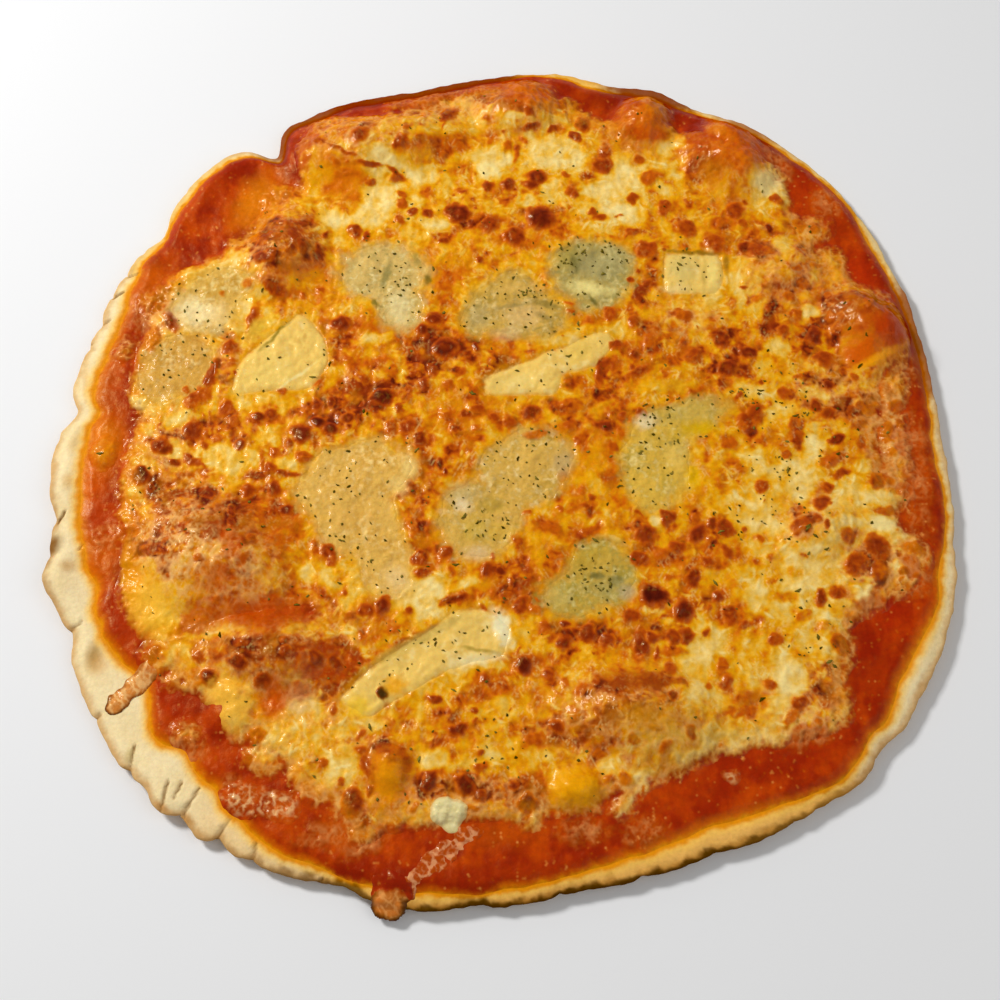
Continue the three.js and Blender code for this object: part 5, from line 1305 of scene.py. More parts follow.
def sauce_with_film(x, y, places):
    """The sauce's colour with thin pale cheese on it, and small specks of painted highlight on its wet
    surface.
    """
    coarse = clouds(x, y, 6, 165)
    highlight_specks = step(.48, .8, noise(x, .8 * y, 1.3, 166)) * step(-.4, .5, noise(x, y, 9, 167))
    colour = sauce_colour(x, y)
    for *oval, code, most in SAUCE_TINTS:
        d = oval_distance(x, y, *oval)
        colour = mix(colour, rgb(code), most * step(1.6, .2, d + .25 * coarse))
    # painted highlights: small pale specks
    colour = mix(colour, rgb("F0A65C"), .6 * highlight_specks)
    covered = np.clip(places * (.6 + .8 * coarse), 0, 1)
    colour = mix(colour, rgb("C06024"), .4 * covered)
    return mix(colour, THREAD, .65 * film(x, y) * covered)


def blanket_tone(x, y, coarse, fine, smooth):
    """How baked the blanket looks, and how much of a blister and of a pale strand is at each point."""
    sx, sy = as_seen(x, y)
    wide = lookup(WIDE_STRANDS, x, y) - .35
    thin = lookup(FINE_STRANDS, x, y) - .3
    toast = lookup(TOAST, sx, sy)
    tone = lookup(TONE, sx, sy) + smooth * (.24 * coarse + .09 * fine - .16 * wide - .12 * thin)
    toasted = .2 * step(.3, 1, toast + .5 * coarse + .25 * fine)
    tone = np.minimum(np.maximum(tone, np.minimum(tone + toasted, .82)), .84)
    tone = tone + .2 * step(2.2, 1, lookup(BLISTER_RIM, sx, sy)) * (.6 + .5 * coarse)
    dark = lookup(BLISTER_DARK, sx, sy)
    blister = step(.03, .3, dark)
    tone = tone + blister * np.clip(.6 + .4 * dark + .07 * fine - tone, -.15, 1)
    stroke = step(.35, .8, lookup(SHORT_STRANDS, x, y)) * (1 - .7 * blister) * smooth
    patches = noise(x, y, 8, 88)
    pale_strand = stroke * step(-.5, .4, patches) * step(2, 9, cheese_depth(x, y)) * (1 - .5 * toast)
    tone = tone - .26 * pale_strand + .16 * stroke * step(.1, .7, -patches)
    return tone, blister, pale_strand


def softer_over(colour, wet, sx, sy, coarse, fine, blister):
    """Colours the softer cheeses' pieces, in place."""
    for piece in PIECES:
        low, high = piece_box(piece, 8)
        close = np.flatnonzero((sx > low[0]) & (sx < high[0]) & (sy > low[1]) & (sy < high[1]))
        px, py = sx[close], sy[close]
        depth = piece_depth(piece, px, py)
        if piece in SLICES:
            share = step(-.9, 1, depth + .6 * fine[close])
            softer = brie_colour(piece, px, py)
        else:
            share = step(-3, 2.4, depth + 2.2 * coarse[close] + 1.2 * fine[close])
            softer = pool_colour(piece, px, py)
        share = share * (1 - blister[close])
        ring = step(2, .4, np.abs(depth + 1)) * step(-1, 0, share)
        colour[close] = mix(colour[close], rgb("D09818"), .3 * ring * (1 - blister[close]))
        colour[close] = mix(colour[close], softer, share)
        wet[close] = wet[close] * (1 - share) + (.45 + .3 * fine[close]) * share


def patches_over(colour, sx, sy, coarse, fine):
    """Tints the patches, in place."""
    for *oval, code, most in PATCHES:
        cx, cy, half_long, half_wide, _ = oval
        reach = 1.6 * max(half_long, half_wide) + 3
        close = np.flatnonzero((np.abs(sx - cx) < reach) & (np.abs(sy - cy) < reach))
        px, py = sx[close], sy[close]
        wx = .5 * (lookup(WARP_X, px, py) + px)
        wy = .5 * (lookup(WARP_Y, px, py) + py)
        d = oval_distance(wx, wy, *oval)
        share = most * step(1.5, .3, d + .35 * fine[close] + .25 * coarse[close])
        colour[close] = mix(colour[close], rgb(code), share)


def cheese_colour(x, y):
    """The colour and wetness of the blanket and of the softer cheeses in it."""
    sx, sy = as_seen(x, y)
    coarse = clouds(x, y, 5.5, 76)
    fine = clouds(x, y, 2, 80, 2)
    depth = cheese_depth(x, y)
    toast = lookup(TOAST, sx, sy)
    plain = lookup(SMOOTH, sx, sy)
    calm = lookup(CALM, sx, sy)
    smooth = (1 - .6 * plain) * (1 - .6 * calm)
    tone, blister, pale_strand = blanket_tone(x, y, coarse, fine, smooth)

    # The cheese itself, golden where it is baked. The fine glints on it are painted highlights, and its pale
    # strands get a touch of the same painted highlight.
    colour = baked(np.clip(tone, 0, 1.08))
    golden = step(-.1, .5, clouds(x, y, 7, 89)) * step(.5, .7, tone) * step(.95, .8, tone)
    colour = mix(colour, rgb("B4700A"), .5 * golden * (1 - blister))
    colour = mix(colour, GLINT, .2 * pale_strand * step(.6, .4, tone))
    glint = step(.22, .03, np.abs(noise(x, .5 * y, 1.6, 84) + .3 * noise(x, y, 4, 85)))
    glint = glint * step(-.3, .6, noise(x, y, 5, 86))
    colour = mix(colour, GLINT, .4 * glint * (1 - .7 * blister) * smooth * (1 - .6 * toast))
    wet = .6 + .5 * (tone - .35) + .3 * fine + .3 * glint - .35 * toast

    # Its lacy edge, where the sauce shows through, and the reddened places: mostly where the sauce reddens
    # it, in one zone painted shade.
    red = lookup(RED, sx, sy) + .35 * coarse + .2 * fine
    lace = depth / 6 + .22 * (film(x, y) - .35) + .3 * coarse + .18 * fine
    edge = step(1, .2, lace)
    depth = depth + 2.4 * coarse + 1.4 * fine
    right = step(-40, 40, x) * step(140, 80, y)
    front = step(-50, -100, y)
    outer = np.maximum(right, front)
    net_places = np.maximum(.8 * lookup(STRINGY, sx, sy), step(10, 2, depth) * (.3 + .7 * outer))
    net_places = np.maximum(net_places, lookup(THREAD_PLACES, sx, sy))
    on_sauce = .4 * outer * net_places * step(0, 6, depth)
    sauce = sauce_with_film(x, y, np.maximum(on_sauce, lookup(THREAD_PLACES, x, y)))
    flecks = step(.3, 1, clouds(x, .7 * y, 1.8, 87) + .4 * coarse)
    reddened = mix(rgb("C4500A"), rgb("9E2E04"), .4 + .6 * coarse)
    reddened = mix(reddened, rgb("EA9A34"), .55 * flecks)
    colour = mix(colour, rgb("DC8410"), .55 * step(12, 4, depth) * step(.2, .5, tone))
    colour = mix(colour, reddened, .85 * step(.35, .95, red) * (1 - .7 * blister))
    colour = mix(colour, sauce, edge)

    # The net of pale threads, a pale fringe, and a pale halo around each blister.
    netted = lookup(NETTED, sx, sy)
    net_share = np.maximum(net_places * (.42 + .3 * coarse), netted * (.8 + .3 * coarse)) * (1 - .8 * calm)
    net = film(x, y) * net_share * (1 - edge) * (1 - .8 * blister) * step(.95, .65, tone)
    net_colour = mix(mix(colour, STRAND, .75), THREAD, step(.2, .8, red))
    colour = mix(colour, net_colour, net)
    fringe = step(10, 5, depth) * (1 - edge) * outer * (1 - blister) * (1 - .8 * plain)
    colour = mix(colour, rgb("D8A468"), .3 * fringe * (.4 + .8 * coarse + .8 * fine))
    near = lookup(BLISTER_RIM, sx, sy)
    halo = step(1.6, 1.3, near) * step(1, 1.15, near)
    colour = mix(colour, net_colour, .5 * halo * net_places * (1 - edge) * step(.95, .65, tone))

    softer_over(colour, wet, sx, sy, coarse, fine, blister)
    patches_over(colour, sx, sy, coarse, fine)
    return colour, wet


# ---------------------------------------------------------------- the dough's colours

# Spots on the crust's top: (x, y, half length, half width, turn, colour, share). The dark one at (-155,
# -37), at a fold of the edge, is partly toasting and partly painted shade.
CRUST_SPOTS = (
    (-137, -76, 5.5, 2.8, 80, "A07A3E", .8), (-135, -79, 4, 3, 60, "D0A468", .6),
    (-148.5, -44.5, 2.6, 2.2, 0, "C09454", .6), (-151, 2, 4, 2.2, 80, "CDAE76", .6),
    (-152, -13, 3.4, 2, 90, "CBA468", .6), (-155, -37, 5, 3.4, 60, "6A4418", .85),
    (-156.5, -30, 6, 1.2, 80, "B08040", .5), (-146, 18, 2, 1.2, 90, "CBB080", .6),
    (-122, -110, 3, 1.6, 70, "B09A5C", .5), (-124, -115, 3, 1.4, 0, "8A6A34", .8),
    (-110, -127, 2.6, 1.4, -40, "C89050", .7), (-104, -131, 4, 1.4, -10, "C08A4C", .7),
    (-147, -69, 1.4, 2, 0, "7A5A28", .8), (-138, 76, 1.4, 7, 25, "C89A5C", .5),
    (-150, 30, 1.2, 12, 5, "D6B078", .5),
)


# Tints around the dough's edge: (bearing, half width in degrees, colour, share).
RIM_TINTS = (
    (282, 32, "EDB048", .8), (243, 10, "E8BC7C", .4), (79, 3.5, "F0B440", .8), (142, 10, "ECCC7C", .5),
    (35, 10, "F4E0AC", .6),
)
# Where the sauce is baked on to the very edge of the dough: in the same form.
DARK_RIMS = (
    (101, 13, "7E2004", .95), (69, 5.5, "7E2004", .9), (118, 8, "802404", .9), (16, 8, "9C4008", .8),
    (54.5, 3, "A04A10", .7),
)
# Where the dough's edge is toasted: (bearing, degrees to each side).
TOASTED_FRONT = (278, 42)
TOASTED_LEFT = (195, 12)


def rim_tinted(colour, bearing, tints, roughly):
    """The colour of a place on the rim with the tints around its bearing."""
    for at, wide, code, most in tints:
        away = np.abs(turned(bearing, at)) + 1.5 * roughly
        colour = mix(colour, rgb(code), most * step(wide + 3, wide - 2, away))
    return colour


def crust_colour(x, y, face):
    """The dough's colour. face runs from 1 on top through 0 at the edge to -1 underneath."""
    bearing = bearing_of(x, y)
    coarse = clouds(x, y, 16, 90)
    fine = clouds(x, y, 3.5, 94)
    top = step(-.3, 0, face)
    rim = inside(crust_radius, x, y)
    rim_width = crust_radius(bearing) - sauce_radius(bearing)
    band = np.clip(rim_width / 7, .6, 1)
    out = (-inside(sauce_radius, x, y) + .9 * fine) / band
    colour = mix(DOUGH, DOUGH_DARK, .2 + .6 * coarse + .3 * fine)
    colour = mix(colour, rgb("D8AC72"), .7 * step(3.4, .4, rim + 1.2 * fine + 1.2 * coarse))
    for *oval, code, most in CRUST_SPOTS:
        d = oval_distance(x, y, *oval)
        colour = mix(colour, rgb(code), most * step(1.5, .2, d + .2 * fine) * top)
    colour = mix(colour, rim_tinted(colour, bearing, RIM_TINTS, fine), top)
    colour = mix(colour, rgb("F2C462"), .85 * step(4.5, 1, out) * top)
    colour = mix(colour, rgb("DE8A10"), .9 * step(2.2, .4, out) * top)
    # The cracks are painted dark brown, as shade in them.
    colour = mix(colour, rgb("7E5A2E"), (.7 + .4 * coarse) * crack(x, y) * top)
    colour = mix(colour, rim_tinted(colour, bearing, DARK_RIMS, fine), top)
    most_toasted = np.maximum(bell(bearing, *TOASTED_FRONT), .4 * bell(bearing, *TOASTED_LEFT))
    toasted_way = .2 + .8 * most_toasted
    burnt = step(4.4, .6, rim + 1.6 * fine + 1.4 * coarse) * toasted_way
    colour = mix(colour, rgb("8E5A26"), .8 * burnt)
    char = step(2.6, .8, rim + 1.8 * clouds(x, y, 5, 97) + .7 * fine) * step(.4, .9, toasted_way)
    colour = mix(colour, rgb("38220E"), .85 * char)
    under = step(-.5, -.9, face)
    base = mix(rgb("D9BC84"), rgb("B98442"), .5 + .5 * clouds(x, y, 22, 100))
    base = mix(base, rgb("5A3416"), step(.55, 1, clouds(x, y, 9, 104) + .3 * clouds(x, y, 30, 108)))
    base = mix(base, rgb("EADBB8"), .5 * step(.1, .9, clouds(x, y, 5, 112)))
    return mix(colour, base, under)


# ---------------------------------------------------------------- the crust

SECTORS = 1280
TOP_RINGS = 24
LIP_RINGS = 8
FOOT_RINGS = 10
UNDERSIDE_RADII = (118, 100, 80, 60, 40, 20, 1)
LIP_RADIUS = 1.3  # roundness of the dough's edge
CRACK_DEPTH = .8
FOOT_INSET = .9  # the lip's foot lies this much further in than its top
HIDDEN_HEIGHT = 2  # the dough's height over its underside where the sauce hides it
UNDER_SAUCE = 4  # the baked dough shows up to the sauce, and runs this far under it


def build_crust():
    """The dough as rings of points: a low hidden top, the rim, the rounded lip and the underside."""
    bearings = np.arange(SECTORS) * 360 / SECTORS
    edge = crust_radius(bearings)
    inner = sauce_radius(bearings) - UNDER_SAUCE
    ca = np.cos(np.radians(bearings))
    sa = np.sin(np.radians(bearings))
    rings = []
    faces = []

    def hidden_top(x, y):
        return underside(x, y) + HIDDEN_HEIGHT

    def cracked_top(x, y):
        return dough_top(x, y) - CRACK_DEPTH * crack(x, y)

    def add(radius, height, face):
        x = radius * ca
        y = radius * sa
        rings.append(np.column_stack([x, y, height(x, y)]))
        faces.append(np.full(SECTORS, face, float))

    add(np.full(SECTORS, 1.0), hidden_top, 1)
    add(inner * .6, hidden_top, 1)
    add(inner - 3, hidden_top, 1)
    for k in range(TOP_RINGS):
        t = k / (TOP_RINGS - 1)
        add(inner + (edge - LIP_RADIUS - inner) * t, cracked_top, 1 - .3 * step(.7, 1, t))
    top_edge = rings[-1][:, 2]
    foot_edge = underside(ca * (edge - LIP_RADIUS), sa * (edge - LIP_RADIUS)) + .1
    for k in range(1, LIP_RINGS):
        a = math.pi * k / LIP_RINGS
        middle = (top_edge + foot_edge) / 2
        half = (top_edge - foot_edge) / 2
        height = middle + half * math.cos(a)
        bulge = LIP_RADIUS * math.sin(a) - .8 * (1 - math.cos(a)) / 2
        rough = .35 * noise(ca * edge, sa * edge + height * 3, 3, 120)
        radius = edge - LIP_RADIUS + bulge + rough * math.sin(a)
        rings.append(np.column_stack([radius * ca, radius * sa, height]))
        faces.append(np.full(SECTORS, .7 * math.cos(a), float))
    for k in range(FOOT_RINGS):
        t = k / (FOOT_RINGS - 1)
        radius = (edge - LIP_RADIUS - FOOT_INSET) + (FLAT_RADIUS - edge + LIP_RADIUS + FOOT_INSET) * t
        add(radius, lambda x, y: np.maximum(underside(x, y), 0), -.7 - .3 * t)
    for radius in UNDERSIDE_RADII:
        add(np.full(SECTORS, float(radius)), lambda x, y: np.zeros_like(x), -1)

    points = np.concatenate(rings)
    face = np.concatenate(faces)
    count = len(rings)
    i = np.arange(SECTORS)
    j = (i + 1) % SECTORS
    parts = []
    for k in range(count - 1):
        a = k * SECTORS
        b = a + SECTORS
        parts.append(np.column_stack([a + i, b + i, b + j]))
        parts.append(np.column_stack([a + i, b + j, a + j]))
    top_point = len(points)
    points = np.concatenate([points, [[0, 0, HIDDEN_HEIGHT], [0, 0, 0]]])
    face = np.append(face, [1, -1])
    last = (count - 1) * SECTORS
    parts.append(np.column_stack([np.full(SECTORS, top_point), i, j]))
    parts.append(np.column_stack([np.full(SECTORS, top_point + 1), last + j, last + i]))
    tint = crust_colour(points[:, 0], points[:, 1], face)
    dry = np.zeros(len(points))
    crust = make_mesh("crust_baked", points, np.concatenate(parts), tint, dry, CRUST_MATERIAL)
    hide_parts("crust")


# ---------------------------------------------------------------- the sauce

SAUCE_SPACING = .7
SAUCE_SPILL = 1.6  # the sheet runs this far past its outline, into the dough
COVERED_WIDTH = 9  # it runs this far in under the blanket


def build_sauce():
    """The ring of sauce that shows, and a little under the blanket."""
    def keep(x, y):
        covered = inside(cheese_radius, x, y) > COVERED_WIDTH
        return (inside(sauce_radius, x, y) > -SAUCE_SPILL) & ~covered

    x, y, triangles = triangle_grid(SAUCE_SPACING, (-REACH, -REACH), (REACH, REACH), keep)
    fine = clouds(x, y, 3, 134)
    colour = sauce_with_film(x, y, lookup(THREAD_PLACES, x, y))
    bearing = bearing_of(x, y)
    band = np.clip((crust_radius(bearing) - sauce_radius(bearing)) / 8, .35, 1)
    depth = (inside(sauce_radius, x, y) + .9 * fine) / band
    colour = mix(colour, rgb("CC6A0A"), .85 * step(4.5, .5, depth))
    colour = mix(colour, rgb("E29A20"), .9 * step(1.8, -.4, depth))
    colour = mix(colour, rim_tinted(colour, bearing, DARK_RIMS, fine), step(6, 3, depth))
    z = sauce_top(x, y)
    wet = (.7 + .3 * fine) * towards_camera(x, y, z, sheet_normals(x, y, z, triangles))
    points, triangles = closed_below(x, y, z, triangles, (0, 0))
    sauce = make_mesh("tomato_sauce_cooked", points, triangles, colour, wet, SAUCE_MATERIAL)
    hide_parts("tomato_sauce")


# ---------------------------------------------------------------- the blanket

BLANKET_SPACING = .57
BLANKET_SPILL = 3  # the sheet runs this far past its outline, into the sauce
BLANKET_EDGE = 2.5  # but it ends this far inside the dough's edge
GAP_DEPTH = 4  # it is left out this deep inside the softer cheeses' pieces
SECTOR_EDGES = (90, 210, 330)  # bearings where the blanket is cut into pieces
SECTOR_WIDTH = 120  # degrees
BOTTOM_RADIUS = 60  # where each piece's bottom point lies


def build_blanket():
    """The blanket, with gaps under the softer cheeses' pieces, cut into three."""
    def keep(x, y):
        near = (cheese_depth(x, y) > -BLANKET_SPILL) & (inside(crust_radius, x, y) > BLANKET_EDGE)
        return near & (lookup(SOFT_DEPTH, *as_seen(x, y)) < GAP_DEPTH)

    x, y, triangles = triangle_grid(BLANKET_SPACING, (-REACH, -REACH), (REACH, REACH), keep)
    z = cheese_top(x, y) - .4 * step(-1, 1.5, lookup(SOFT_DEPTH, *as_seen(x, y)))
    normals = sheet_normals(x, y, z, triangles)
    colour, wet = cheese_colour(x, y)
    wet = wet * towards_camera(x, y, z, normals)
    bearing = bearing_of(x[triangles].mean(1), y[triangles].mean(1))
    for k, start in enumerate(SECTOR_EDGES):
        used, part = only_used(triangles[(bearing - start) % 360 < SECTOR_WIDTH], len(x))
        middle = np.radians(start + SECTOR_WIDTH / 2)
        bottom = (BOTTOM_RADIUS * np.cos(middle), BOTTOM_RADIUS * np.sin(middle))
        points, faces = closed_below(x[used], y[used], z[used], part, bottom)
        piece = make_mesh(f"melted_cheese_{k + 1}", points, faces, colour[used], wet[used],
                          CHEESE_MATERIAL, normals[used])
        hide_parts("melted_cheese")


# ---------------------------------------------------------------- the softer cheeses

PIECE_SPACING = .5
SMALL_SPACING = .4
PIECE_SPILL = 1.6  # a piece's sheet runs this far past its outline
BIT_SPILL = 1.2
PIECE_MARGIN = 6  # the grid that a piece is cut from runs this far past it
BIT_MARGIN = 4
SLICE_RISE = .9
POOL_RISE = .3
MOZZARELLA_RISE = .9
BIT_RISE = .4


def piece_swells(piece, x, y, depth):
    """Soft unevenness of a piece's face."""
    seed = SEEDS[piece[0]]
    return (.22 * noise(x, y, 8, seed + 30) + .1 * noise(x, y, 3.2, seed + 31)) * step(0, 3, depth)


def build_piece(piece, material, rise, round_off):
    """A sheet for one piece: it follows the blanket, rise mm above it, and dips under it at the edge."""
    def keep(x, y):
        return piece_depth(piece, *as_seen(x, y)) > -PIECE_SPILL

    low, high = piece_box(piece, PIECE_MARGIN)
    x, y, triangles = triangle_grid(PIECE_SPACING, low, high, keep)
    depth = piece_depth(piece, *as_seen(x, y))
    z = cheese_top(x, y) + rise * step(-.6, round_off, depth) - .3 * step(.8, -1.2, depth)
    z = z + piece_swells(piece, x, y, depth)
    colour, wet = cheese_colour(x, y)
    points, triangles = closed_below(x, y, z, triangles, (x.mean(), y.mean()))
    made = make_mesh(piece[0] + "_soft", points, triangles, colour, wet, material)
    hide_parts(piece[0])


def build_bit(piece):
    """A small lump of mozzarella that lies on the sauce or the blanket."""
    def keep(x, y):
        return piece_depth(piece, x, y) > -BIT_SPILL

    name = piece[0]
    low, high = piece_box(piece, BIT_MARGIN)
    x, y, triangles = triangle_grid(SMALL_SPACING, low, high, keep)
    depth = piece_depth(piece, x, y)
    on = np.maximum(sauce_top(x, y), cheese_top(x, y))
    relief = .3 * noise(x, y, 4, SEEDS[name] + 3) + .15 * noise(x, y, 1.8, SEEDS[name] + 4)
    rise = MOZZARELLA_RISE if name == "mozzarella_bit" else BIT_RISE
    z = on + (rise + relief) * step(-.6, 2.4, depth) - .8 * step(.3, -1.1, depth)
    colour, wet = bit_colour(name, x, y, depth)
    points, triangles = closed_below(x, y, z, triangles, (x.mean(), y.mean()))
    made = make_mesh(name + "_soft", points, triangles, colour, wet, CHEESE_MATERIAL)
    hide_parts(name)


# ---------------------------------------------------------------- strings of cheese over the rim

# Each string: name, its path (x, y, half width) from the blanket outwards, its thickness, how far along it
# sauce still covers it, and the colours of its middle, of its darker edges, partly browned and partly
# painted shade on its rounded sides, and of the painted highlights streaked along it.
STRINGS = (
    ("cheese_string_left", ((-113, -74, 5.5), (-118.5, -82, 4.2), (-124, -88.5, 3.6), (-128, -93.5, 3.6)),
     1.3, .12, "D08A46", "96501C", "F0C88E"),
    ("cheese_string_front", ((-6, -131, 4.2), (-14, -139, 4.4), (-24, -147, 4.2), (-31, -154, 3.6)),
     .6, 0, "AE4A1C", "A03408", "E8B088"),
    ("cheese_drip_front", ((-34, -145, 6), (-35, -152.5, 7.4), (-35.4, -157, 6.2)),
     1.6, .6, "CC7E3C", "6E3C12", "E8A868"),
)
STRING_MARGIN = 9  # the grid that a string is cut from runs this far past its path


def build_string(name, path, thickness, covered, middle, edges, highlight_colour):
    """A rounded string that lies along a path on what is under it."""
    def nearest(x, y):
        """The distance to the path over its half width, and how far along the path that is, 0 to 1."""
        x = x + 1.1 * noise(x, y, 6, 150) + .5 * noise(x, y, 2.6, 151)
        y = y + 1.1 * noise(x, y, 6, 152) + .5 * noise(x, y, 2.6, 153)
        best = np.full(np.shape(x), 99.0)
        along = np.zeros(np.shape(x))
        for k, ((ax, ay, ar), (bx, by, br)) in enumerate(zip(path, path[1:])):
            t = along_line(x, y, ax, ay, bx, by)
            d = np.hypot(x - ax - t * (bx - ax), y - ay - t * (by - ay)) / (ar + t * (br - ar))
            closer = d < best
            best = np.where(closer, d, best)
            along = np.where(closer, (k + t) / (len(path) - 1), along)
        return best, along

    def keep(x, y):
        return nearest(x, y)[0] < 1

    places = np.array(path)[:, :2]
    low = places.min(0) - STRING_MARGIN
    high = places.max(0) + STRING_MARGIN
    x, y, triangles = triangle_grid(SMALL_SPACING, low, high, keep)
    d, along = nearest(x, y)
    over_rim = step(-1.5, 1, inside(crust_radius, x, y))
    under = np.maximum(dough_top(x, y), np.where(inside(sauce_radius, x, y) > -1, sauce_top(x, y), 0))
    under = underside(x, y) + 1.2 + (under - underside(x, y) - 1.2) * over_rim
    body = thickness * step(-.1, .2 + covered, along) * np.sqrt(np.clip(1 - d ** 2, 0, 1))
    z = under - .4 + body + .3 * noise(x, y, 5, 154) + .2 * noise(x, y, 2, 155)
    fine = clouds(x, y, 3, 156)
    bare = step(covered - .05, covered + .25, along + .12 * fine)
    colour = mix(sauce_with_film(x, y, 0 * x), rgb(middle), .8 * bare)
    # Its edges are darker, partly browned and partly painted shade on its rounded sides, and the pale
    # streaks on it are painted highlights.
    colour = mix(colour, rgb(edges), bare * step(.5, 1, d + .25 * fine))
    streak = step(.2, .9, film(x, y) + .4 * fine) * step(1.05, .6, d + .3 * fine)
    colour = mix(colour, rgb(highlight_colour), .6 * streak * bare)
    colour = mix(colour, rgb("3E1E08"), .8 * step(.85, 1, along) * step(.6, 1, d))
    points, triangles = closed_below(x, y, z, triangles, places[-2])
    made = make_mesh(name, points, triangles, colour, np.full(len(x), .7), CHEESE_MATERIAL)
    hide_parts("melted_cheese")


# ---------------------------------------------------------------- herbs

# Where herb flakes lie thickest: (x, y, half length, half width, turn).
HERB_PLACES = (
    (-42, 67, 8, 12, 0), (8, 57, 12, 9, 0), (30, 74, 13, 9, 0), (18, 30, 14, 6, 25), (33, -50, 10, 9, 0),
    (-52, -20, 14, 18, 0), (-5, -25, 11, 12, 0), (10, -2, 12, 12, 0), (-30, -72, 20, 7, 30),
    (62, 8, 14, 12, 0), (100, 10, 26, 24, 0), (70, 70, 10, 10, 0), (95, -30, 20, 14, 0),
    (-45, -38, 8, 10, 0), (0, -112, 30, 8, 0), (110, -70, 14, 12, 0), (-100, 45, 14, 14, 0),
    (55, -12, 8, 14, 0),
)
# Where they lie in thick clumps: in the same form.
HERB_CLUMPS = (
    (-38, 65, 4, 10, 0), (28, 76, 7, 6, 0), (8, 62, 9, 3, 0), (15, 52, 5, 3, 0), (34, -50, 9, 5, -10),
    (56, 13, 6, 5, 0), (42, 76, 5, 5, 0), (-3, -30, 7, 6, 0), (0, -60, 4, 3, 0), (86, 19, 9, 4, 0),
    (108, 14, 6, 4, 0), (98, -8, 5, 4, 0), (105, -76, 4, 2, 0),
)
HERB_CANDIDATES = 18000
HERB_RADIUS = 150  # flakes are tried inside this radius
HERB_SECTIONS = 3
FLAKE_POINTS = 4 * HERB_SECTIONS


def resting_height(x, y):
    """The height of what shows at a point of the pizza's top."""
    height = cheese_top(x, y)
    sx, sy = as_seen(x, y)
    for piece in PIECES:
        rise = SLICE_RISE if piece in SLICES else POOL_RISE
        depth = piece_depth(piece, sx, sy)
        height = height + rise * step(-.6, 3, depth) + piece_swells(piece, x, y, depth)
    return height


def herb_places(rng):
    """Where flakes lie: in the herb places, on the softer cheeses and in clumps, and few elsewhere."""
    r = HERB_RADIUS * np.sqrt(rng.random(HERB_CANDIDATES))
    a = rng.uniform(0, 2 * np.pi, HERB_CANDIDATES)
    x = r * np.cos(a)
    y = r * np.sin(a)
    near = np.max([part_depth(place, x, y) for place in HERB_PLACES], axis=0)
    clumped = np.max([part_depth(place, x, y) for place in HERB_CLUMPS], axis=0)
    chance = .02 + .12 * step(-3, 3, near) + .06 * step(-2, 0, lookup(SOFT_DEPTH, x, y))
    chance = (chance + .5 * step(-2, 2, clumped)) * step(.8, .3, lookup(TOAST, x, y))
    uneven = 1 + .6 * noise(x, y, 16, 140) + .5 * noise(x, y, 5, 141)
    chosen = rng.random(HERB_CANDIDATES) < chance * step(-1, 4, cheese_depth(x, y)) * uneven
    return x[chosen], y[chosen]


def flake_triangles():
    """The triangles of one flake, whose sections have four points each."""
    faces = []
    for k in range(HERB_SECTIONS - 1):
        here, there = 4 * k, 4 * k + 4
        for p, q in ((0, 2), (2, 3), (3, 1), (1, 0)):
            faces += [(here + p, here + q, there + q), (here + p, there + q, there + p)]
    end = 4 * (HERB_SECTIONS - 1)
    return faces + [(0, 1, 3), (0, 3, 2), (end, end + 3, end + 1), (end, end + 2, end + 3)]


def build_herbs():
    """Dried herb flakes: thin curved shreds that lie on the surface, one mesh for all of them."""
    rng = np.random.default_rng(5)
    x, y = herb_places(rng)
    count = len(x)
    length = rng.uniform(.4, 1.3, count) * np.where(rng.random(count) < .12, 2, 1)
    width = np.minimum(length * rng.uniform(.4, .9, count), .9)
    turn = rng.uniform(0, 2 * np.pi, count)
    bend = rng.uniform(-.2, .2, count) * length
    rise = rng.uniform(-.05, .3, count)
    along = np.linspace(-1, 1, HERB_SECTIONS)
    u = along[None, :] * length[:, None] / 2
    v = bend[:, None] * (along ** 2)[None, :]
    half = width[:, None] / 2 * np.sqrt(1.06 - along ** 2)[None, :]
    half = half * rng.uniform(.7, 1.2, (count, HERB_SECTIONS))
    points = []
    for side in (-1, 1):
        across = v + side * half
        px = x[:, None] + u * np.cos(turn)[:, None] - across * np.sin(turn)[:, None]
        py = y[:, None] + u * np.sin(turn)[:, None] + across * np.cos(turn)[:, None]
        on = resting_height(px, py) + rise[:, None] * (along ** 2)[None, :] + .1 * side * rise[:, None]
        points += [np.stack([px, py, on + .22], -1), np.stack([px, py, on - .05], -1)]
    points = np.stack(points, 2).reshape(-1, 3)  # flake, section, (left top, left low, right top, right low)
    starts = FLAKE_POINTS * np.arange(count)[:, None, None]
    triangles = (np.array(flake_triangles())[None] + starts).reshape(-1, 3)
    shade = mix(rgb("423A14"), rgb("867C3A"), rng.random(count))
    tint = np.repeat(shade, FLAKE_POINTS, 0)
    herbs = make_mesh("herb_flakes", points, triangles, tint, np.zeros(len(points)), HERB_MATERIAL)


build_crust()
build_sauce()
build_blanket()
for piece in SLICES:
    build_piece(piece, BRIE_MATERIAL, SLICE_RISE, round_off=2.2)
for piece in POOLS:
    build_piece(piece, POOL_MATERIAL, POOL_RISE, round_off=3)
for string in STRINGS:
    build_string(*string)
for piece in BITS:
    build_bit(piece)
build_herbs()

# ---------------------------------------------------------------- floor, light and camera

FLOOR_HALF = 3  # metres, as are the sizes below that don't say otherwise
FLOOR_DROP = .0005  # the floor lies this far under the pizza

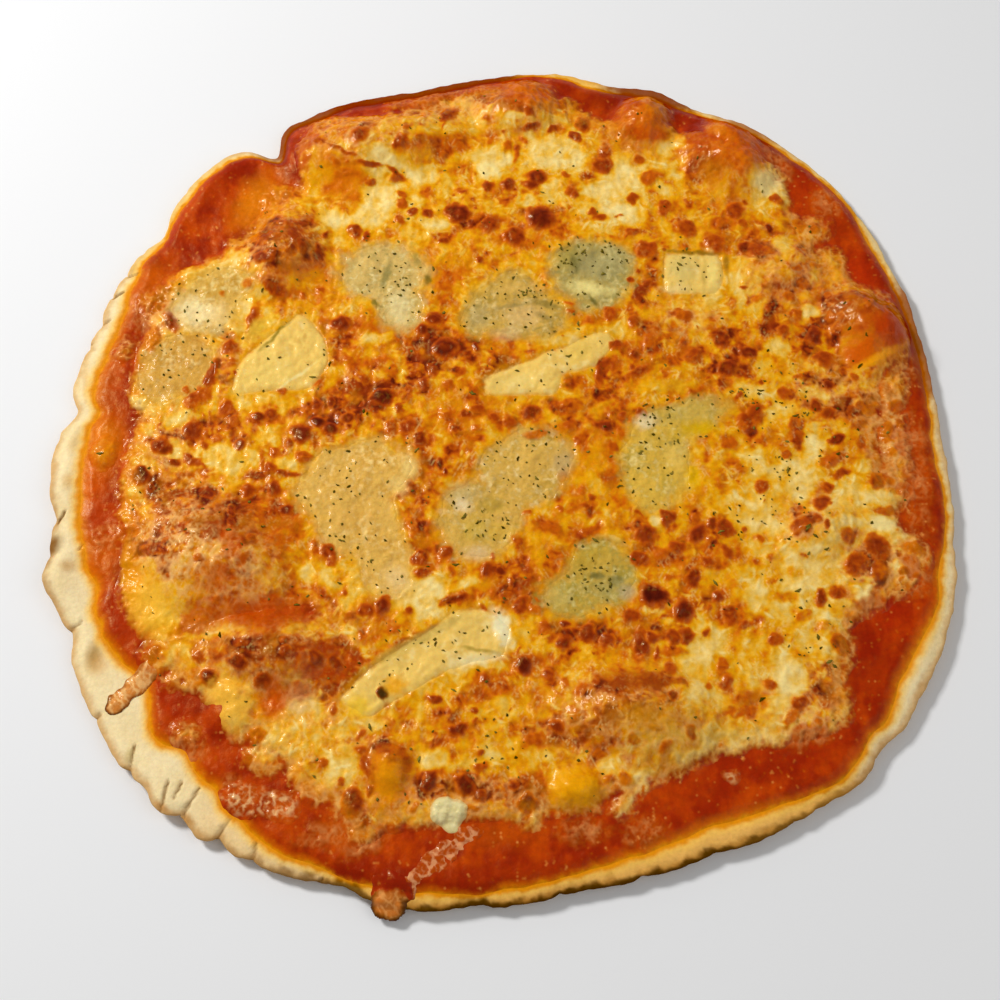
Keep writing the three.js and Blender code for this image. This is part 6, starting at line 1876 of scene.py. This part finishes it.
corners = [(-FLOOR_HALF, -FLOOR_HALF, 0), (FLOOR_HALF, -FLOOR_HALF, 0),
           (FLOOR_HALF, FLOOR_HALF, 0), (-FLOOR_HALF, FLOOR_HALF, 0)]
floor_mesh = bpy.data.meshes.new("floor")
floor_mesh.from_pydata(corners, [], [(0, 1, 2, 3)])
floor_material = bpy.data.materials.new("floor")
floor_material.use_nodes = True
floor_surface = floor_material.node_tree.nodes["Principled BSDF"]
floor_surface.inputs["Base Color"].default_value = (.9, .9, .9, 1)
floor_surface.inputs["Roughness"].default_value = .9
floor_mesh.materials.append(floor_material)
floor = add_object("floor", floor_mesh)
floor.location.z = -FLOOR_DROP


def facing(start, target):
    """The turn of a lamp or camera that looks from one place to another."""
    return (target - start).to_track_quat("-Z", "Y").to_euler()


def area_light(name, place, size, power):
    """A square lamp that faces the pizza."""
    light = bpy.data.lights.new(name, "AREA")
    light.size = size
    light.energy = power
    lamp = add_object(name, light)
    lamp.location = place
    lamp.rotation_euler = facing(Vector(place), Vector((0, 0, 0)))


area_light("key", place=(-.75, .45, .85), size=.22, power=10.8)
area_light("fill", place=(.7, -.35, .8), size=.9, power=2.2)

world = bpy.data.worlds.new("studio")
world.use_nodes = True
sky = world.node_tree.nodes["Background"]
sky.inputs["Color"].default_value = (1, 1, 1, 1)
sky.inputs["Strength"].default_value = .27
bpy.context.scene.world = world
bpy.context.scene.view_settings.view_transform = "Standard"

CAMERA_ELEVATION = 68  # degrees
CAMERA_DISTANCE = .56
LENS_SHARE = 1.596  # focal length over the frame's width
SENSOR_WIDTH = 36  # mm
AIM = Vector((.00003, -.01856, .004))

camera_data = bpy.data.cameras.new("camera")
camera_data.sensor_width = SENSOR_WIDTH
camera_data.lens = SENSOR_WIDTH * LENS_SHARE
camera = add_object("camera", camera_data)
elevation = math.radians(CAMERA_ELEVATION)
camera.location = AIM + CAMERA_DISTANCE * Vector((0, -math.cos(elevation), math.sin(elevation)))
camera.rotation_euler = facing(camera.location, AIM)
bpy.context.scene.camera = camera
